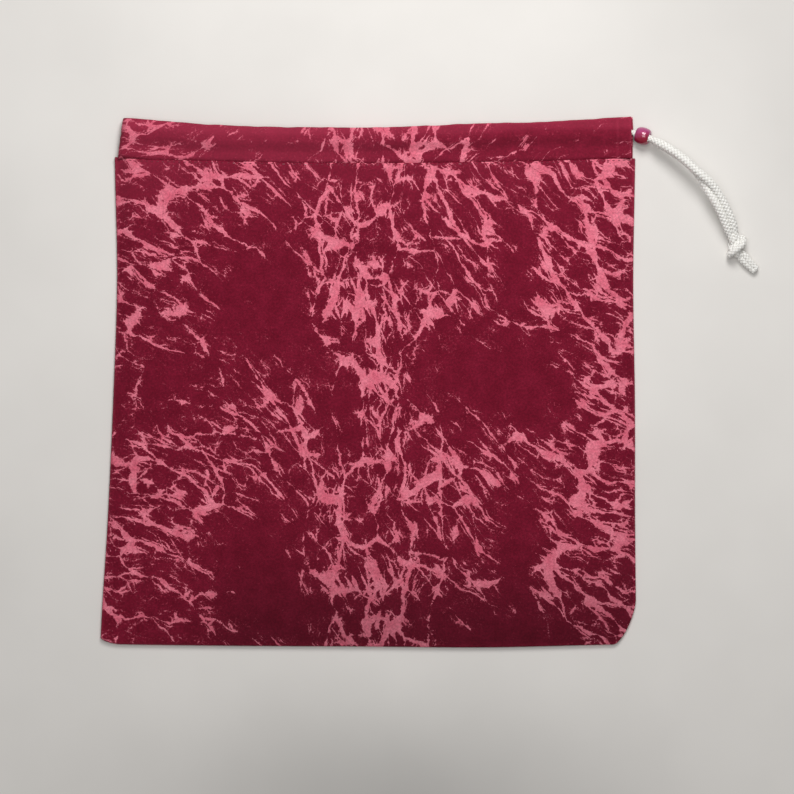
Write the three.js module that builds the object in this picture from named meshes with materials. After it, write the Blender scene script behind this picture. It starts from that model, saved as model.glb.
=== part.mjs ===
// A flat drawstring bag: two cloth panels, a casing band folded over the mouth, a doubled
// cord with its overhand knot, and a barrel bead that slides on both strands.
// Millimetres. +X runs along the mouth towards the cord's exit, +Y up to the mouth, +Z up
// from the table that the bag lies on.
import * as THREE from 'three';

// Driving sizes: cloth
const BAG_WIDTH = 287;          // across the bottom corners
const BAG_HEIGHT = 283;         // bottom edge to the corners of the mouth
const CLOTH = 0.5;              // one layer of cotton twill
const SEAM_ALLOWANCE = 8;       // width turned in along the side and bottom seams
const SEAM_THICKNESS = 1.1;     // a panel and its pressed allowance
const PANEL_GAP = 0.3;          // between pieces that touch on the real bag
const CROWN = 6.2;              // how far the front panel lifts off the back one in the middle
const CROWN_RUN = 45;           // distance from a seam over which the crown rises
const BOTTOM_SAG = 1.2;         // the bottom edge bows down by this much

// Driving sizes: side seams, measured in from half the bag's width, from the bottom up
const LEFT_INSETS = [0, 4.5, 7.7, 9, 7.7];
const RIGHT_INSETS = [0, 0.7, 0.8, 1.7, 0.7];
const LEFT_CORNER = { wide: 5, high: 4 };
const RIGHT_CORNER = { wide: 11, high: 30 };

// Driving sizes: casing band
const CASING_HEIGHT = 21.4;     // seam to fold at the ends of the mouth
const MOUTH_SAG = 5.5;          // the fold hangs lower in the middle of the mouth
const SEAM_SAG = 3.2;           // and so does the casing seam
const SHOULDER = 1.6;           // the body stands out past the casing under its left end
const LEFT_SLANT = 3;           // the casing's left fold leans in towards the mouth
const FRONT_END_INSET = 2.1;    // the front end stops short of the body's right side
const BACK_END_INSET = 0.9;
const CASING_WALL = 0.4;        // the casing's cloth, pulled thin over the cord
const HEM_WIDTH = 7;            // turned-in end of the band, seen on the front
const HEM_EXTRA = 0.35;         // what the turned-in layer adds to the wall
const TUNNEL = 3;               // clear height inside the casing
const SLIT_CLEARANCE = 0.3;     // on each face of the panel edge that the casing grips
const TONGUE = 6;               // how far a panel's top edge reaches into the casing
const MOUTH_GAP = 4.7;          // between the front and back casing where the mouth gapes
const TURN_GAP = 0.8;           // between them where the band folds round the left side
const GAPE_FROM = -75;          // the mouth gapes from here
const GAPE_TO = 42;             // to here,
const GAPE_FADE = 50;           // and closes over this distance on both sides

// Driving sizes: cord
const CORD = 4;                 // braided cord, free
const CORD_SQUEEZED = 2.4;      // the same cord squeezed in the casing and the bead
const CORD_FLAT = 4.4;          // its width where the pressed casing flattens it
const CORD_INSET = 7.8;         // from the mouth's corner down to the cord
const RIDGE_SAG = 3.3;          // the cord hangs lower in the middle of the mouth
const CORD_DRAW = 35;           // how far the cord can be drawn out
const CORD_SPARE = 3;           // length left in the casing when it is drawn out
const CORD_LEAD = 5;            // the strands start to turn this far inside the casing
const ENDS_RISE = 0.8;          // and leave the level of the casing this far inside it
const STRAND_GAP = 0.15;        // between the two strands in the bead and at the knot
const STRAND_SPLAY = 0.4;       // added to it where they lie side by side
const SPLAY_FROM = 0.28;        // they lie one above the other up to this share of the arc,
const SPLAY_TO = 0.6;           // and side by side from this one on
const KNOT_CORD = 3;            // the doubled cord, pulled tight in the knot
const KNOT_REACH = 1.75;        // half the knot's length along the cord, in cord thicknesses
const TAIL = 3;                 // thickness of a cut tail
const TAIL_LENGTH = 13;
const TAIL_HEADING = -50;       // direction the tails lie in, degrees from +X

// Driving sizes: bead
const BEAD_DIAMETER = 9;
const BEAD_LENGTH = 7.4;
const BEAD_BORE = 5.6;
const BEAD_END = 6.6;           // diameter of its flat ends

// Where the bead and the knot lie, measured from the right-hand corner of the mouth
const BEAD_PLACE = { right: 5.1, down: 9.7, up: 5.1 };
const KNOT_PLACE = { right: 54.8, down: 68.7, up: 5.2 };
const ARC_SWAY = 9.2;           // the strands bow out to the side between bead and knot
const ARC_RISE = 6;             // and rise off the table

// Places worked out from the sizes
const halfWidth = BAG_WIDTH / 2;
const mouthY = BAG_HEIGHT / 2;
const bottomY = -BAG_HEIGHT / 2 + BOTTOM_SAG;
const seamY = mouthY - CASING_HEIGHT;
const bodyRight = halfWidth - RIGHT_INSETS.at(-1);
const bodyLeft = -halfWidth + LEFT_INSETS.at(-1);
const halfRun = TUNNEL / 2 + CASING_WALL;
const turnRadius = halfRun + TURN_GAP / 2;
const casingLeft = bodyLeft + SHOULDER + LEFT_SLANT;
const turnX = casingLeft + halfRun + turnRadius;
const frontEnd = bodyRight - FRONT_END_INSET;
const backEnd = bodyRight - BACK_END_INSET;
const backRunZ = halfRun;
const closedLift = 2 * halfRun + PANEL_GAP;
const slitHalf = CLOTH / 2 + SLIT_CLEARANCE;
const slitShift = halfRun - CASING_WALL - slitHalf;
const tongueInset = SEAM_ALLOWANCE + 3;
const cordY = mouthY - CORD_INSET;

const lerp = THREE.MathUtils.lerp;
const smoothstep = THREE.MathUtils.smoothstep;
const range = (n) => Array.from({ length: n }, (_, i) => i);
const steps = (from, to, n) => range(n + 1).map((i) => lerp(from, to, i / n));
const vec = (x, y, z) => new THREE.Vector3(x, y, z);

/** A value of a list of evenly spaced values, read at t between 0 and 1 on a smooth curve. */
function smoothValue(values, t) {
  const curve = new THREE.SplineCurve(values.map((v, i) => new THREE.Vector2(i, v)));
  return curve.getPoint(THREE.MathUtils.clamp(t, 0, 1)).y;
}

/** A closed body from vertices and triangles. */
function body(name, points, triangles, material) {
  const geometry = new THREE.BufferGeometry();
  const numbers = points.flatMap((p) => p.toArray());
  geometry.setAttribute('position', new THREE.Float32BufferAttribute(numbers, 3));
  geometry.setIndex(triangles.flat());
  geometry.computeVertexNormals();
  const mesh = new THREE.Mesh(geometry, material);
  mesh.name = name;
  return mesh;
}

/**
 * A sheet with thickness: two grids of points, the face seen with u to the right and v up and
 * the face behind it, joined along their four edges.
 */
function sheet(name, us, vs, face, back, material) {
  const cols = us.length;
  const rows = vs.length;
  const grid = (point) => vs.flatMap((v) => us.map((u) => point(u, v)));
  const points = [...grid(face), ...grid(back)];
  const front = (i, j) => j * cols + i;
  const behind = (i, j) => front(i, j) + cols * rows;
  const triangles = [];
  const quad = (a, b, c, d) => triangles.push([a, b, c], [a, c, d]);
  for (const j of range(rows - 1)) {
    for (const i of range(cols - 1)) {
      quad(front(i, j), front(i + 1, j), front(i + 1, j + 1), front(i, j + 1));
      quad(behind(i, j), behind(i, j + 1), behind(i + 1, j + 1), behind(i + 1, j));
    }
    quad(front(0, j), front(0, j + 1), behind(0, j + 1), behind(0, j));
    quad(front(cols - 1, j), behind(cols - 1, j), behind(cols - 1, j + 1), front(cols - 1, j + 1));
  }
  for (const i of range(cols - 1)) {
    quad(front(i, 0), behind(i, 0), behind(i + 1, 0), front(i + 1, 0));
    quad(front(i, rows - 1), front(i + 1, rows - 1), behind(i + 1, rows - 1), behind(i, rows - 1));
  }
  return body(name, points, triangles, material);
}

/** A closed body lofted through rings of equal count, with a fan over each end. */
function loft(name, rings, material) {
  const sides = rings[0].length;
  const points = rings.flat();
  const triangles = [];
  for (const k of range(rings.length - 1)) {
    for (const i of range(sides)) {
      const a = k * sides + i;
      const b = k * sides + ((i + 1) % sides);
      triangles.push([a, b, b + sides], [a, b + sides, a + sides]);
    }
  }
  const last = (rings.length - 1) * sides;
  for (const i of range(sides - 2)) {
    triangles.push([0, i + 2, i + 1], [last, last + i + 1, last + i + 2]);
  }
  return body(name, points, triangles, material);
}

/** Rings of a tube along a line of points; wide and high give its half sizes at each point. */
function tubeRings(line, half, sides, up) {
  return line.map((p, k) => {
    const ahead = line[Math.min(k + 1, line.length - 1)];
    const behind = line[Math.max(k - 1, 0)];
    const along = ahead.clone().sub(behind).normalize();
    const across = up(k).clone().cross(along).normalize();
    const over = along.clone().cross(across);
    const { wide, high } = half(k);
    return range(sides).map((i) => {
      const angle = (2 * Math.PI * i) / sides;
      return p.clone()
        .addScaledVector(across, Math.cos(angle) * wide)
        .addScaledVector(over, Math.sin(angle) * high);
    });
  });
}

// Outline of the body
const sideHeight = (y) => (y - bottomY) / (seamY - bottomY);
const leftX = (y) => -halfWidth + smoothValue(LEFT_INSETS, sideHeight(y));
const rightX = (y) => halfWidth - smoothValue(RIGHT_INSETS, sideHeight(y));
const sagged = (x, sag) => sag * (1 - Math.abs(x / halfWidth) ** 1.6);
const seamAt = (x) => seamY - sagged(x, SEAM_SAG);
const foldAt = (x) => mouthY - sagged(x, MOUTH_SAG);

/** Height of the bottom edge: a shallow bow with an elliptical corner at each end. */
function bottomAt(x) {
  const bow = bottomY - BOTTOM_SAG * (1 - (x / halfWidth) ** 2);
  const corner = (depth, { wide, high }) => {
    const t = THREE.MathUtils.clamp(1 - depth / wide, 0, 1);
    return high * (1 - Math.sqrt(1 - t * t));
  };
  return bow + corner(x + halfWidth, LEFT_CORNER) + corner(halfWidth - x, RIGHT_CORNER);
}

/** How open the mouth is at x: 1 where it gapes, 0 where it is shut. */
const gape = (x) =>
  smoothstep(x, GAPE_FROM - GAPE_FADE, GAPE_FROM) * (1 - smoothstep(x, GAPE_TO, GAPE_TO + GAPE_FADE));

/** Height of the front casing's middle at x. */
function frontRunZ(x) {
  const shut = lerp(closedLift, 2 * turnRadius, 1 - smoothstep(x, turnX, turnX + GAPE_FADE));
  const open = 2 * halfRun + MOUTH_GAP;
  return backRunZ + lerp(shut, open, gape(x));
}

/** Heights of a panel's face and back at a point, given its distance from the seams. */
const panelThickness = (fromSeam) => (fromSeam < SEAM_ALLOWANCE ? SEAM_THICKNESS : CLOTH);

function frontPanelZ(x, y) {
  const fromSide = Math.min(x - leftX(y), rightX(y) - x);
  const fromBottom = y - bottomAt(x);
  const rise = (d) => 1 - (1 - THREE.MathUtils.clamp(d / CROWN_RUN, 0, 1)) ** 2.2;
  const edge = SEAM_THICKNESS + PANEL_GAP + SEAM_THICKNESS;
  const pillow = edge + CROWN * rise(fromSide) * rise(fromBottom);
  const gripped = frontRunZ(x) - slitShift + CLOTH / 2;
  const mouth = lerp(edge, gripped, smoothstep(fromSide, 0, tongueInset));
  const high = lerp(pillow, mouth, smoothstep(y, seamY - 80, seamY - 20));
  return { low: high - panelThickness(Math.min(fromSide, fromBottom)), high };
}

function backPanelZ(x, y) {
  const fromSide = Math.min(x - leftX(y), rightX(y) - x);
  const fromSeam = Math.min(fromSide, y - bottomAt(x));
  const gripped = backRunZ - slitShift - CLOTH / 2;
  const low = gripped * smoothstep(y, seamAt(x) - 12, seamAt(x) - 1) * smoothstep(fromSide, 0, tongueInset);
  return { low, high: low + panelThickness(fromSeam) };
}

/**
 * A panel: rows of points from the bottom edge to the casing seam, then a narrower tongue that
 * the casing grips. u runs from the left seam to the right one; v counts rows.
 */
function panel(name, heights, cells, material) {
  const edge = SEAM_ALLOWANCE / BAG_WIDTH;
  const step = edge / 20;
  const us = [0, edge - step, edge, ...steps(edge * 2, 1 - edge * 2, cells), 1 - edge, 1 - edge + step, 1];
  const rowsUp = [0, edge - step, edge, ...steps(edge * 2, 1, cells)];
  const tongueRows = [0, 1];
  const under = 0.4;
  const shoulderDrop = 1.5;
  const vs = range(rowsUp.length + tongueRows.length);
  const place = (u, v) => {
    if (v < rowsUp.length) {
      const nominal = lerp(bottomY, seamY, rowsUp[v]);
      const spread = (x) => lerp(bottomAt(x), seamAt(x) - shoulderDrop, rowsUp[v]);
      const guess = lerp(leftX(nominal), rightX(nominal), u);
      const y = spread(guess);
      const x = lerp(leftX(y), rightX(y), u);
      return { x, y: spread(x) };
    }
    const x = lerp(leftX(seamY) + tongueInset + 1, rightX(seamY) - tongueInset, u);
    return { x, y: lerp(seamAt(x) - under, seamAt(x) + TONGUE, tongueRows[v - rowsUp.length]) };
  };
  const at = (side) => (u, v) => {
    const { x, y } = place(u, v);
    return vec(x, y, heights(x, y)[side]);
  };
  return sheet(name, us, vs, at('high'), at('low'), material);
}

/** How far the left fold leans out at a height between the seam (0) and the mouth's fold (1). */
const leanAt = (x, v) => LEFT_SLANT * (1 - v) * (1 - smoothstep(x, turnX, turnX + 25));

/** Stations along the casing, from its front end round the left fold to its back end. */
function casingStations() {
  const hemInner = frontEnd - HEM_WIDTH;
  const front = [frontEnd, hemInner, hemInner - 0.5, ...steps(frontEnd - 16, turnX, 24)];
  const back = steps(turnX, backEnd, 20);
  const centreZ = backRunZ + turnRadius;
  return [
    ...front.map((x) => ({ x, z: frontRunZ(x), angle: Math.PI / 2, end: frontEnd - x < HEM_WIDTH + 0.1 })),
    ...steps(90, -90, 8).slice(1, -1).map((degrees) => {
      const angle = THREE.MathUtils.degToRad(degrees);
      return {
        x: turnX - turnRadius * Math.cos(angle),
        z: centreZ + turnRadius * Math.sin(angle),
        angle,
        end: false,
      };
    }),
    ...back.map((x) => ({ x, z: backRunZ, angle: -Math.PI / 2, end: false })),
  ];
}

/** The casing: a strip folded over the cord, gripping a panel edge in the slit along its seam. */
function casingBand(material) {
  const stations = casingStations();
  // Half the clear height inside, from the slit at the seam (0) to the fold (1)
  const clear = (v) => {
    const grow = smoothstep(v, 0.04, 0.26);
    const round = Math.sqrt(Math.max(0, 1 - THREE.MathUtils.clamp((v - 0.84) / 0.16, 0, 1) ** 2));
    return lerp(slitHalf, TUNNEL / 2, grow) * round;
  };
  const wallUp = [0, 0.08, 0.16, 0.26, 0.45, 0.65, 0.84, 0.92, 0.97];
  const chain = [
    ...wallUp.map((v) => ({ v, side: 1 })),
    { v: 1, side: 0 },
    ...wallUp.toReversed().map((v) => ({ v, side: -1 })),
  ];
  const point = (k, i, layer) => {
    const { x, z, angle, end } = stations[i];
    const { v, side } = chain[k];
    const wall = CASING_WALL + (end && side >= 0 ? HEM_EXTRA : 0);
    const shift = -Math.sin(angle) * slitShift * (1 - smoothstep(v, 0.04, 0.26));
    const n = shift + side * (clear(v) + (layer === 'outer' ? wall : 0));
    const fold = foldAt(x) - (side === 0 && layer === 'inner' ? CASING_WALL : 0);
    const y = lerp(seamAt(x), fold, v);
    return vec(x - leanAt(x, v) - Math.cos(angle) * n, y, z + Math.sin(angle) * n);
  };
  const us = range(stations.length);
  const vs = range(chain.length);
  const inner = (i, k) => point(k, i, 'inner');
  const outer = (i, k) => point(k, i, 'outer');
  return sheet('casing_band', us, vs, inner, outer, material);
}

// The cord's line
const cordLineY = (x) => cordY - RIDGE_SAG * gape(x);
const spareStart = frontEnd - CORD_LEAD - CORD_DRAW - CORD_SPARE;

/** The loop that stays in the casing, flattened by it, from the front end round to the back. */
function drawstringLoop(material) {
  const front = steps(spareStart - PANEL_GAP, turnX, 26)
    .map((x) => ({ x, z: frontRunZ(x), angle: Math.PI / 2 }));
  const turn = steps(90, -90, 8).slice(1, -1).map((degrees) => {
    const angle = THREE.MathUtils.degToRad(degrees);
    return {
      x: turnX - turnRadius * Math.cos(angle),
      z: backRunZ + turnRadius * (1 + Math.sin(angle)),
    };
  });
  const back = steps(turnX, spareStart - PANEL_GAP, 12).map((x) => ({ x, z: backRunZ }));
  const line = [...front, ...turn, ...back].map(({ x, z }) => {
    const y = cordLineY(x);
    const v = (y - seamAt(x)) / (foldAt(x) - seamAt(x));
    return vec(x - leanAt(x, v), y, z);
  });
  const half = () => ({ wide: CORD_FLAT / 2, high: CORD_SQUEEZED / 2 });
  const up = (k) => {
    const along = line[Math.min(k + 1, line.length - 1)].clone().sub(line[Math.max(k - 1, 0)]);
    return along.cross(vec(0, 1, 0));
  };
  return loft('drawstring_loop', tubeRings(line, half, 8, up), material);
}

// The strands' arc from the bead to the knot
const beadCentre = vec(backEnd + BEAD_PLACE.right, mouthY - BEAD_PLACE.down, BEAD_PLACE.up);
const knotCentre = vec(backEnd + KNOT_PLACE.right, mouthY - KNOT_PLACE.down, KNOT_PLACE.up);
const chord = knotCentre.clone().sub(beadCentre);
const chordWay = chord.clone().normalize();
const sideWay = vec(-chordWay.y, chordWay.x, 0).normalize();
const bow = sideWay.clone().multiplyScalar(ARC_SWAY).add(vec(0, 0, ARC_RISE));
bow.addScaledVector(chordWay, -bow.dot(chordWay));
const sagitta = bow.length();
const bowWay = bow.clone().normalize();
const arcRadius = chord.lengthSq() / (8 * sagitta) + sagitta / 2;
const arcCentre = beadCentre.clone()
  .addScaledVector(chord, 0.5)
  .addScaledVector(bowWay, sagitta - arcRadius);
const arcSpan = 2 * Math.asin(chord.length() / (2 * arcRadius));
const arcLength = arcRadius * arcSpan;

/** Point of the arc and its directions, s millimetres past the bead's centre. */
function arcAt(s) {
  const angle = s / arcRadius - arcSpan / 2;
  const out = bowWay.clone().multiplyScalar(Math.cos(angle)).addScaledVector(chordWay, Math.sin(angle));
  const along = chordWay.clone().multiplyScalar(Math.cos(angle)).addScaledVector(bowWay, -Math.sin(angle));
  const point = arcCentre.clone().addScaledVector(out, arcRadius);
  const level = vec(0, 0, 1).cross(along).normalize();
  const over = along.clone().cross(level);
  return { point, along, level, over };
}

const strandEnd = arcLength - KNOT_REACH * KNOT_CORD - PANEL_GAP;

/** Half thickness of a strand, s millimetres past the bead's centre. */
function strandHalf(s) {
  const fromBead = smoothstep(s, BEAD_LENGTH / 2, BEAD_LENGTH * 2);
  const fromKnot = 1 - smoothstep(s, strandEnd - 12, strandEnd);
  return lerp(CORD_SQUEEZED, CORD, fromBead * fromKnot) / 2;
}

/**
 * One free strand: straight in the casing, a short bend to the bead, one above the other
 * through its bore, then side by side to the knot. above is 1 or -1.
 */
function strand(name, above, endX, runZ, material) {
  const offset = (s) => {
    const { point, level, over } = arcAt(s);
    const splay = smoothstep(s, SPLAY_FROM * arcLength, SPLAY_TO * arcLength);
    const meet = smoothstep(s, strandEnd - 14, strandEnd);
    const apart = strandHalf(s) + (STRAND_GAP + STRAND_SPLAY * splay * (1 - meet)) / 2;
    const turn = (Math.PI / 2) * (1 - splay);
    return point
      .addScaledVector(level, above * apart * Math.cos(turn))
      .addScaledVector(over, above * apart * Math.sin(turn));
  };
  const entry = -BEAD_LENGTH / 2;
  const leadX = endX - CORD_LEAD;
  const to = offset(entry);
  const { along } = arcAt(entry);
  const rise = (x, startX, start, end, slope) => {
    const run = to.x - startX;
    const t = THREE.MathUtils.clamp((x - startX) / run, 0, 1);
    return start + (end - start) * t * t * (3 - 2 * t) + slope * run * t * t * (t - 1);
  };
  const bend = (x) => vec(
    x,
    rise(x, leadX, cordY, to.y, along.y / along.x),
    rise(x, endX - ENDS_RISE, runZ, to.z, along.z / along.x),
  );
  const spare = steps(spareStart, leadX, 6).slice(0, -1).map((x) => ({ p: vec(x, cordY, runZ), s: entry }));
  const lead = steps(leadX, to.x, 9).slice(0, -1).map((x) => ({ p: bend(x), s: entry }));
  const free = steps(entry, strandEnd, 26).map((s) => ({ p: offset(s), s }));
  const line = [...spare, ...lead, ...free];
  const half = (k) => ({ wide: strandHalf(line[k].s), high: strandHalf(line[k].s) });
  return loft(name, tubeRings(line.map(({ p }) => p), half, 8, () => vec(0, 0, 1)), material);
}

/**
 * The middle line of an overhand knot pulled tight, for a cord one unit thick. A loose knot is
 * smoothed little by little while its ends are drawn apart along X; stretches that come nearer
 * than the cord's thickness push each other away.
 */
function overhandLine() {
  const count = 48;
  const rounds = 600;
  const reach = 2.6;
  const pull = 0.004;
  const loose = steps(-2.25, 2.25, 119).map((t) =>
    vec(0.73 * (t ** 3 - 3 * t), 0.59 * (t ** 4 - 4 * t ** 2), 0.26 * (t ** 5 - 10 * t)));
  const leads = [loose[0], loose.at(-1)].map((p, i) => p.clone().add(vec(i ? 4 : -4, 0, 0)));
  let line = even([leads[0], ...loose, leads[1]], count);
  for (let round = 0; round < rounds; round += 1) {
    const near = Math.ceil(Math.PI / 2 / line[0].distanceTo(line[1])) + 1;
    const middle = line.slice(count / 4, -count / 4);
    const drift = middle.reduce((sum, p) => sum + p.y, 0) / middle.length;
    line.forEach((p) => { p.y -= drift; });
    for (const [end, way] of [[line[0], -1], [line.at(-1), 1]]) {
      end.set(end.x + way * pull, end.y * 0.9, end.z * 0.9);
    }
    line = line.map((p, i) => {
      if (i === 0 || i === count - 1) return p;
      const beside = line[i - 1].clone().add(line[i + 1]);
      return p.clone().multiplyScalar(0.5).addScaledVector(beside, 0.25);
    });
    for (let again = 0; again < 3; again += 1) {
      const pushes = line.map((p, i) => pushOn(p, line.filter((q, k) => Math.abs(i - k) > near)));
      line.forEach((p, i) => p.add(pushes[i]));
    }
    const inside = line.flatMap((p, i) => (Math.abs(p.x) <= reach ? [i] : []));
    line = even(line.slice(Math.max(inside[0] - 1, 0), inside.at(-1) + 2), count);
  }
  return line;
}

/** How far the points that are nearer than one unit push p away, shared among them. */
function pushOn(p, others) {
  const touching = others.filter((q) => p.distanceTo(q) < 1);
  return touching.reduce((sum, q) => {
    const gap = p.distanceTo(q);
    return sum.addScaledVector(p.clone().sub(q), (0.45 * (1 - gap)) / gap / touching.length);
  }, vec(0, 0, 0));
}

/** The same line with evenly spaced points. */
function even(points, count) {
  const path = new THREE.CurvePath();
  points.slice(1).forEach((p, i) => path.add(new THREE.LineCurve3(points[i], p)));
  return steps(0, 1, count - 1).map((t) => path.getPointAt(t));
}

const knotWay = arcAt(arcLength).along;
const knotHalf = KNOT_REACH * KNOT_CORD;

/** The knot, lying where the arc ends with its length along the arc's end. */
function knot(material) {
  const acrossWay = knotWay.clone().cross(vec(0, 0, 1)).normalize();
  const upWay = acrossWay.clone().cross(knotWay);
  const place = new THREE.Matrix4().makeBasis(knotWay, upWay, acrossWay.negate())
    .scale(vec(KNOT_CORD, KNOT_CORD, KNOT_CORD))
    .setPosition(knotCentre);
  const line = overhandLine().filter((p) => Math.abs(p.x) < KNOT_REACH).map((p) => p.applyMatrix4(place));
  let up = vec(0, 0, 1);
  const ups = line.map((p, k) => {
    const along = line[Math.min(k + 1, line.length - 1)].clone().sub(line[Math.max(k - 1, 0)]).normalize();
    up = up.clone().addScaledVector(along, -up.dot(along)).normalize();
    return up;
  });
  const half = () => ({ wide: KNOT_CORD / 2, high: KNOT_CORD / 2 });
  return loft('knot', tubeRings(line, half, 8, (k) => ups[k]), material);
}

/** One of the two tails that lie side by side past the knot. side is 1 or -1. */
function tail(name, side, material) {
  const start = knotCentre.clone().addScaledVector(knotWay, knotHalf + PANEL_GAP);
  const heading = THREE.MathUtils.degToRad(TAIL_HEADING);
  const end = start.clone().add(vec(Math.cos(heading), Math.sin(heading), 0).multiplyScalar(TAIL_LENGTH));
  end.z = TAIL * 0.95;
  const turn = start.clone().addScaledVector(knotWay, TAIL_LENGTH / 3);
  const middle = new THREE.QuadraticBezierCurve3(start, turn, end);
  const aside = TAIL / 2 + STRAND_GAP / 2;
  const line = steps(0, 1, 8).map((t) => {
    const along = middle.getTangent(t);
    const level = vec(0, 0, 1).cross(along).normalize();
    const over = along.clone().cross(level);
    return middle.getPoint(t)
      .addScaledVector(level, side * aside * 0.8)
      .addScaledVector(over, side * aside * 0.6);
  });
  const tip = line.length - 1;
  const half = (k) => {
    const r = (TAIL / 2) * (k === tip ? 0.75 : 1);
    return { wide: r, high: r };
  };
  return loft(name, tubeRings(line, half, 8, () => vec(0, 0, 1)), material);
}

/** The bead: a barrel with a rounded bore, its axis along the strands. */
function bead(material) {
  const half = BEAD_LENGTH / 2;
  const bore = BEAD_BORE / 2;
  const end = BEAD_END / 2;
  const lip = 0.35;
  const barrel = steps(-90, 90, 10).map((degrees) => {
    const angle = THREE.MathUtils.degToRad(degrees);
    return new THREE.Vector2(end + (BEAD_DIAMETER / 2 - end) * Math.cos(angle), half * Math.sin(angle));
  });
  const inside = [
    new THREE.Vector2(bore + lip * 0.4, half),
    new THREE.Vector2(bore, half - lip),
    new THREE.Vector2(bore, lip - half),
    new THREE.Vector2(bore + lip * 0.4, -half),
  ];
  const profile = [...barrel, ...inside, barrel[0].clone()];
  const geometry = new THREE.LatheGeometry(profile, 28);
  const mesh = new THREE.Mesh(geometry, material);
  mesh.name = 'bead';
  const { point, along } = arcAt(0);
  mesh.position.copy(point);
  mesh.quaternion.setFromUnitVectors(vec(0, 1, 0), along);
  return mesh;
}

const exportGroup = new THREE.Group();
const cloth = new THREE.MeshStandardMaterial({ color: 0x74182f, roughness: 0.85, metalness: 0 });
const braid = new THREE.MeshStandardMaterial({ color: 0xe9e6e0, roughness: 0.5, metalness: 0 });
const pearl = new THREE.MeshStandardMaterial({ color: 0xa81c4c, roughness: 0.2, metalness: 0 });
exportGroup.add(panel('back_panel', backPanelZ, 10, cloth));
exportGroup.add(panel('front_panel', frontPanelZ, 18, cloth));
exportGroup.add(casingBand(cloth));
exportGroup.add(drawstringLoop(braid));
exportGroup.add(strand('strand_front', 1, frontEnd, frontRunZ(frontEnd), braid));
exportGroup.add(strand('strand_back', -1, backEnd, backRunZ, braid));
exportGroup.add(knot(braid));
exportGroup.add(tail('tail_front', 1, braid));
exportGroup.add(tail('tail_back', -1, braid));
exportGroup.add(bead(pearl));

// The centre and axis of the arc that the bead follows
const hingeAxis = chordWay.clone().cross(bowWay).negate().normalize();
const degrees = THREE.MathUtils.radToDeg(arcSpan).toFixed(1);
console.log(`The bead turns about ${arcCentre.toArray()} with axis ${hingeAxis.toArray()}.`);
console.log(`Bead to knot: ${arcLength.toFixed(1)} mm over ${degrees} degrees.`);

export default exportGroup;
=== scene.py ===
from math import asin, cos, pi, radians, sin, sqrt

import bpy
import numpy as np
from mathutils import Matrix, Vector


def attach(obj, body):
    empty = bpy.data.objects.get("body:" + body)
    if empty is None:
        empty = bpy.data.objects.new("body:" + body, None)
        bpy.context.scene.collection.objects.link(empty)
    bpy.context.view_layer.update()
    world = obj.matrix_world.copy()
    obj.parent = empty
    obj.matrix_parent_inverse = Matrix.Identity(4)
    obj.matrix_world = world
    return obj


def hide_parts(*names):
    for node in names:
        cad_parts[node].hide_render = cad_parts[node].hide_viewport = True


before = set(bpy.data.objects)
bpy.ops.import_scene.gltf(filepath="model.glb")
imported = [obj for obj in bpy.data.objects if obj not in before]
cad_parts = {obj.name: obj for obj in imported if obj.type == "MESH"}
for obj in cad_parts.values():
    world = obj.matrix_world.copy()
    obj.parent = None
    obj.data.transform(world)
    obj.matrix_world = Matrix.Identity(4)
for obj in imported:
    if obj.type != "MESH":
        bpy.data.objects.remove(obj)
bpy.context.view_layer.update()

# %% [markdown]
# # A cotton drawstring bag, lying flat
#
# The bag is a square of printed cotton twill, pressed flat. A strip of the same cloth is folded
# over its mouth as a casing. One white braided cord runs through the casing and comes out at the
# right-hand end as two strands, which pass through a pearly bead and end in a knot.
#
# Every shape here is a function of two parameters, worked out with numpy for a whole grid at
# once and then handed to Blender. Sizes are in millimetres until a mesh is made.

MM = 0.001
scene = bpy.context.scene
scene.view_settings.view_transform = "Standard"

# %% [markdown]
# ## The camera
#
# The photograph looks straight down at the bag. A camera that stands high above the table with
# a long lens keeps the raised cord and knot where they are in the picture, because height
# then hardly shifts anything sideways. The lens follows from the width that has to fit the frame.

# %% Camera
VIEW_WIDTH = 424.8          # width of table that the picture shows
VIEW_CENTRE = (15.5, -7.8)
CAMERA_HEIGHT = 1500.0
PRINT_PLANE = 5.0           # height at which the width is exact: the cloth's upper face
SENSOR = 36.0

camera_data = bpy.data.cameras.new("camera")
camera_data.sensor_width = SENSOR
camera_data.lens = SENSOR * (CAMERA_HEIGHT - PRINT_PLANE) / VIEW_WIDTH
camera = bpy.data.objects.new("camera", camera_data)
camera.location = (VIEW_CENTRE[0] * MM, VIEW_CENTRE[1] * MM, CAMERA_HEIGHT * MM)
scene.collection.objects.link(camera)
scene.camera = camera
print(f"lens {camera_data.lens:.1f} mm")

# %% [markdown]
# ## Helpers for grids
#
# A surface is a grid of points with rows along one parameter and columns along the other. Two
# neighbouring rows and two neighbouring columns hold one four-sided face. A cloth is two such
# grids, its face and its back, joined along their edges into one closed shell.


# %% Grids to meshes
def smooth(value, low, high):
    """0 below low, 1 above high, and 3t^2 - 2t^3 between, with t the share of the way."""
    t = np.clip((value - low) / (high - low), 0.0, 1.0)
    return t * t * (3.0 - 2.0 * t)


def mix(a, b, share):
    """a where share is 0, b where it is 1, on the straight line between."""
    return a + (b - a) * share


def cubic(start, end, leaving, arriving, t):
    """The cubic from start at t = 0 to end at t = 1 with the slopes leaving and arriving there."""
    climb = end - start
    square = 3 * climb - 2 * leaving - arriving
    return start + t * (leaving + t * (square + t * (leaving + arriving - 2 * climb)))


def bell(distance, width, power=2):
    """e to the minus (distance / width)^power: 1 at no distance, nearly 0 at twice the width."""
    return np.exp(-(distance / width) ** power)


def rounded(distance, width, least=0.0):
    """A quarter round: the root of 1 - (1 - t)^2, but at least that of least, with t the distance
    in widths, up to 1."""
    return np.sqrt(np.clip(1 - (1 - np.clip(distance / width, 0, 1)) ** 2, least, 1))


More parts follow.
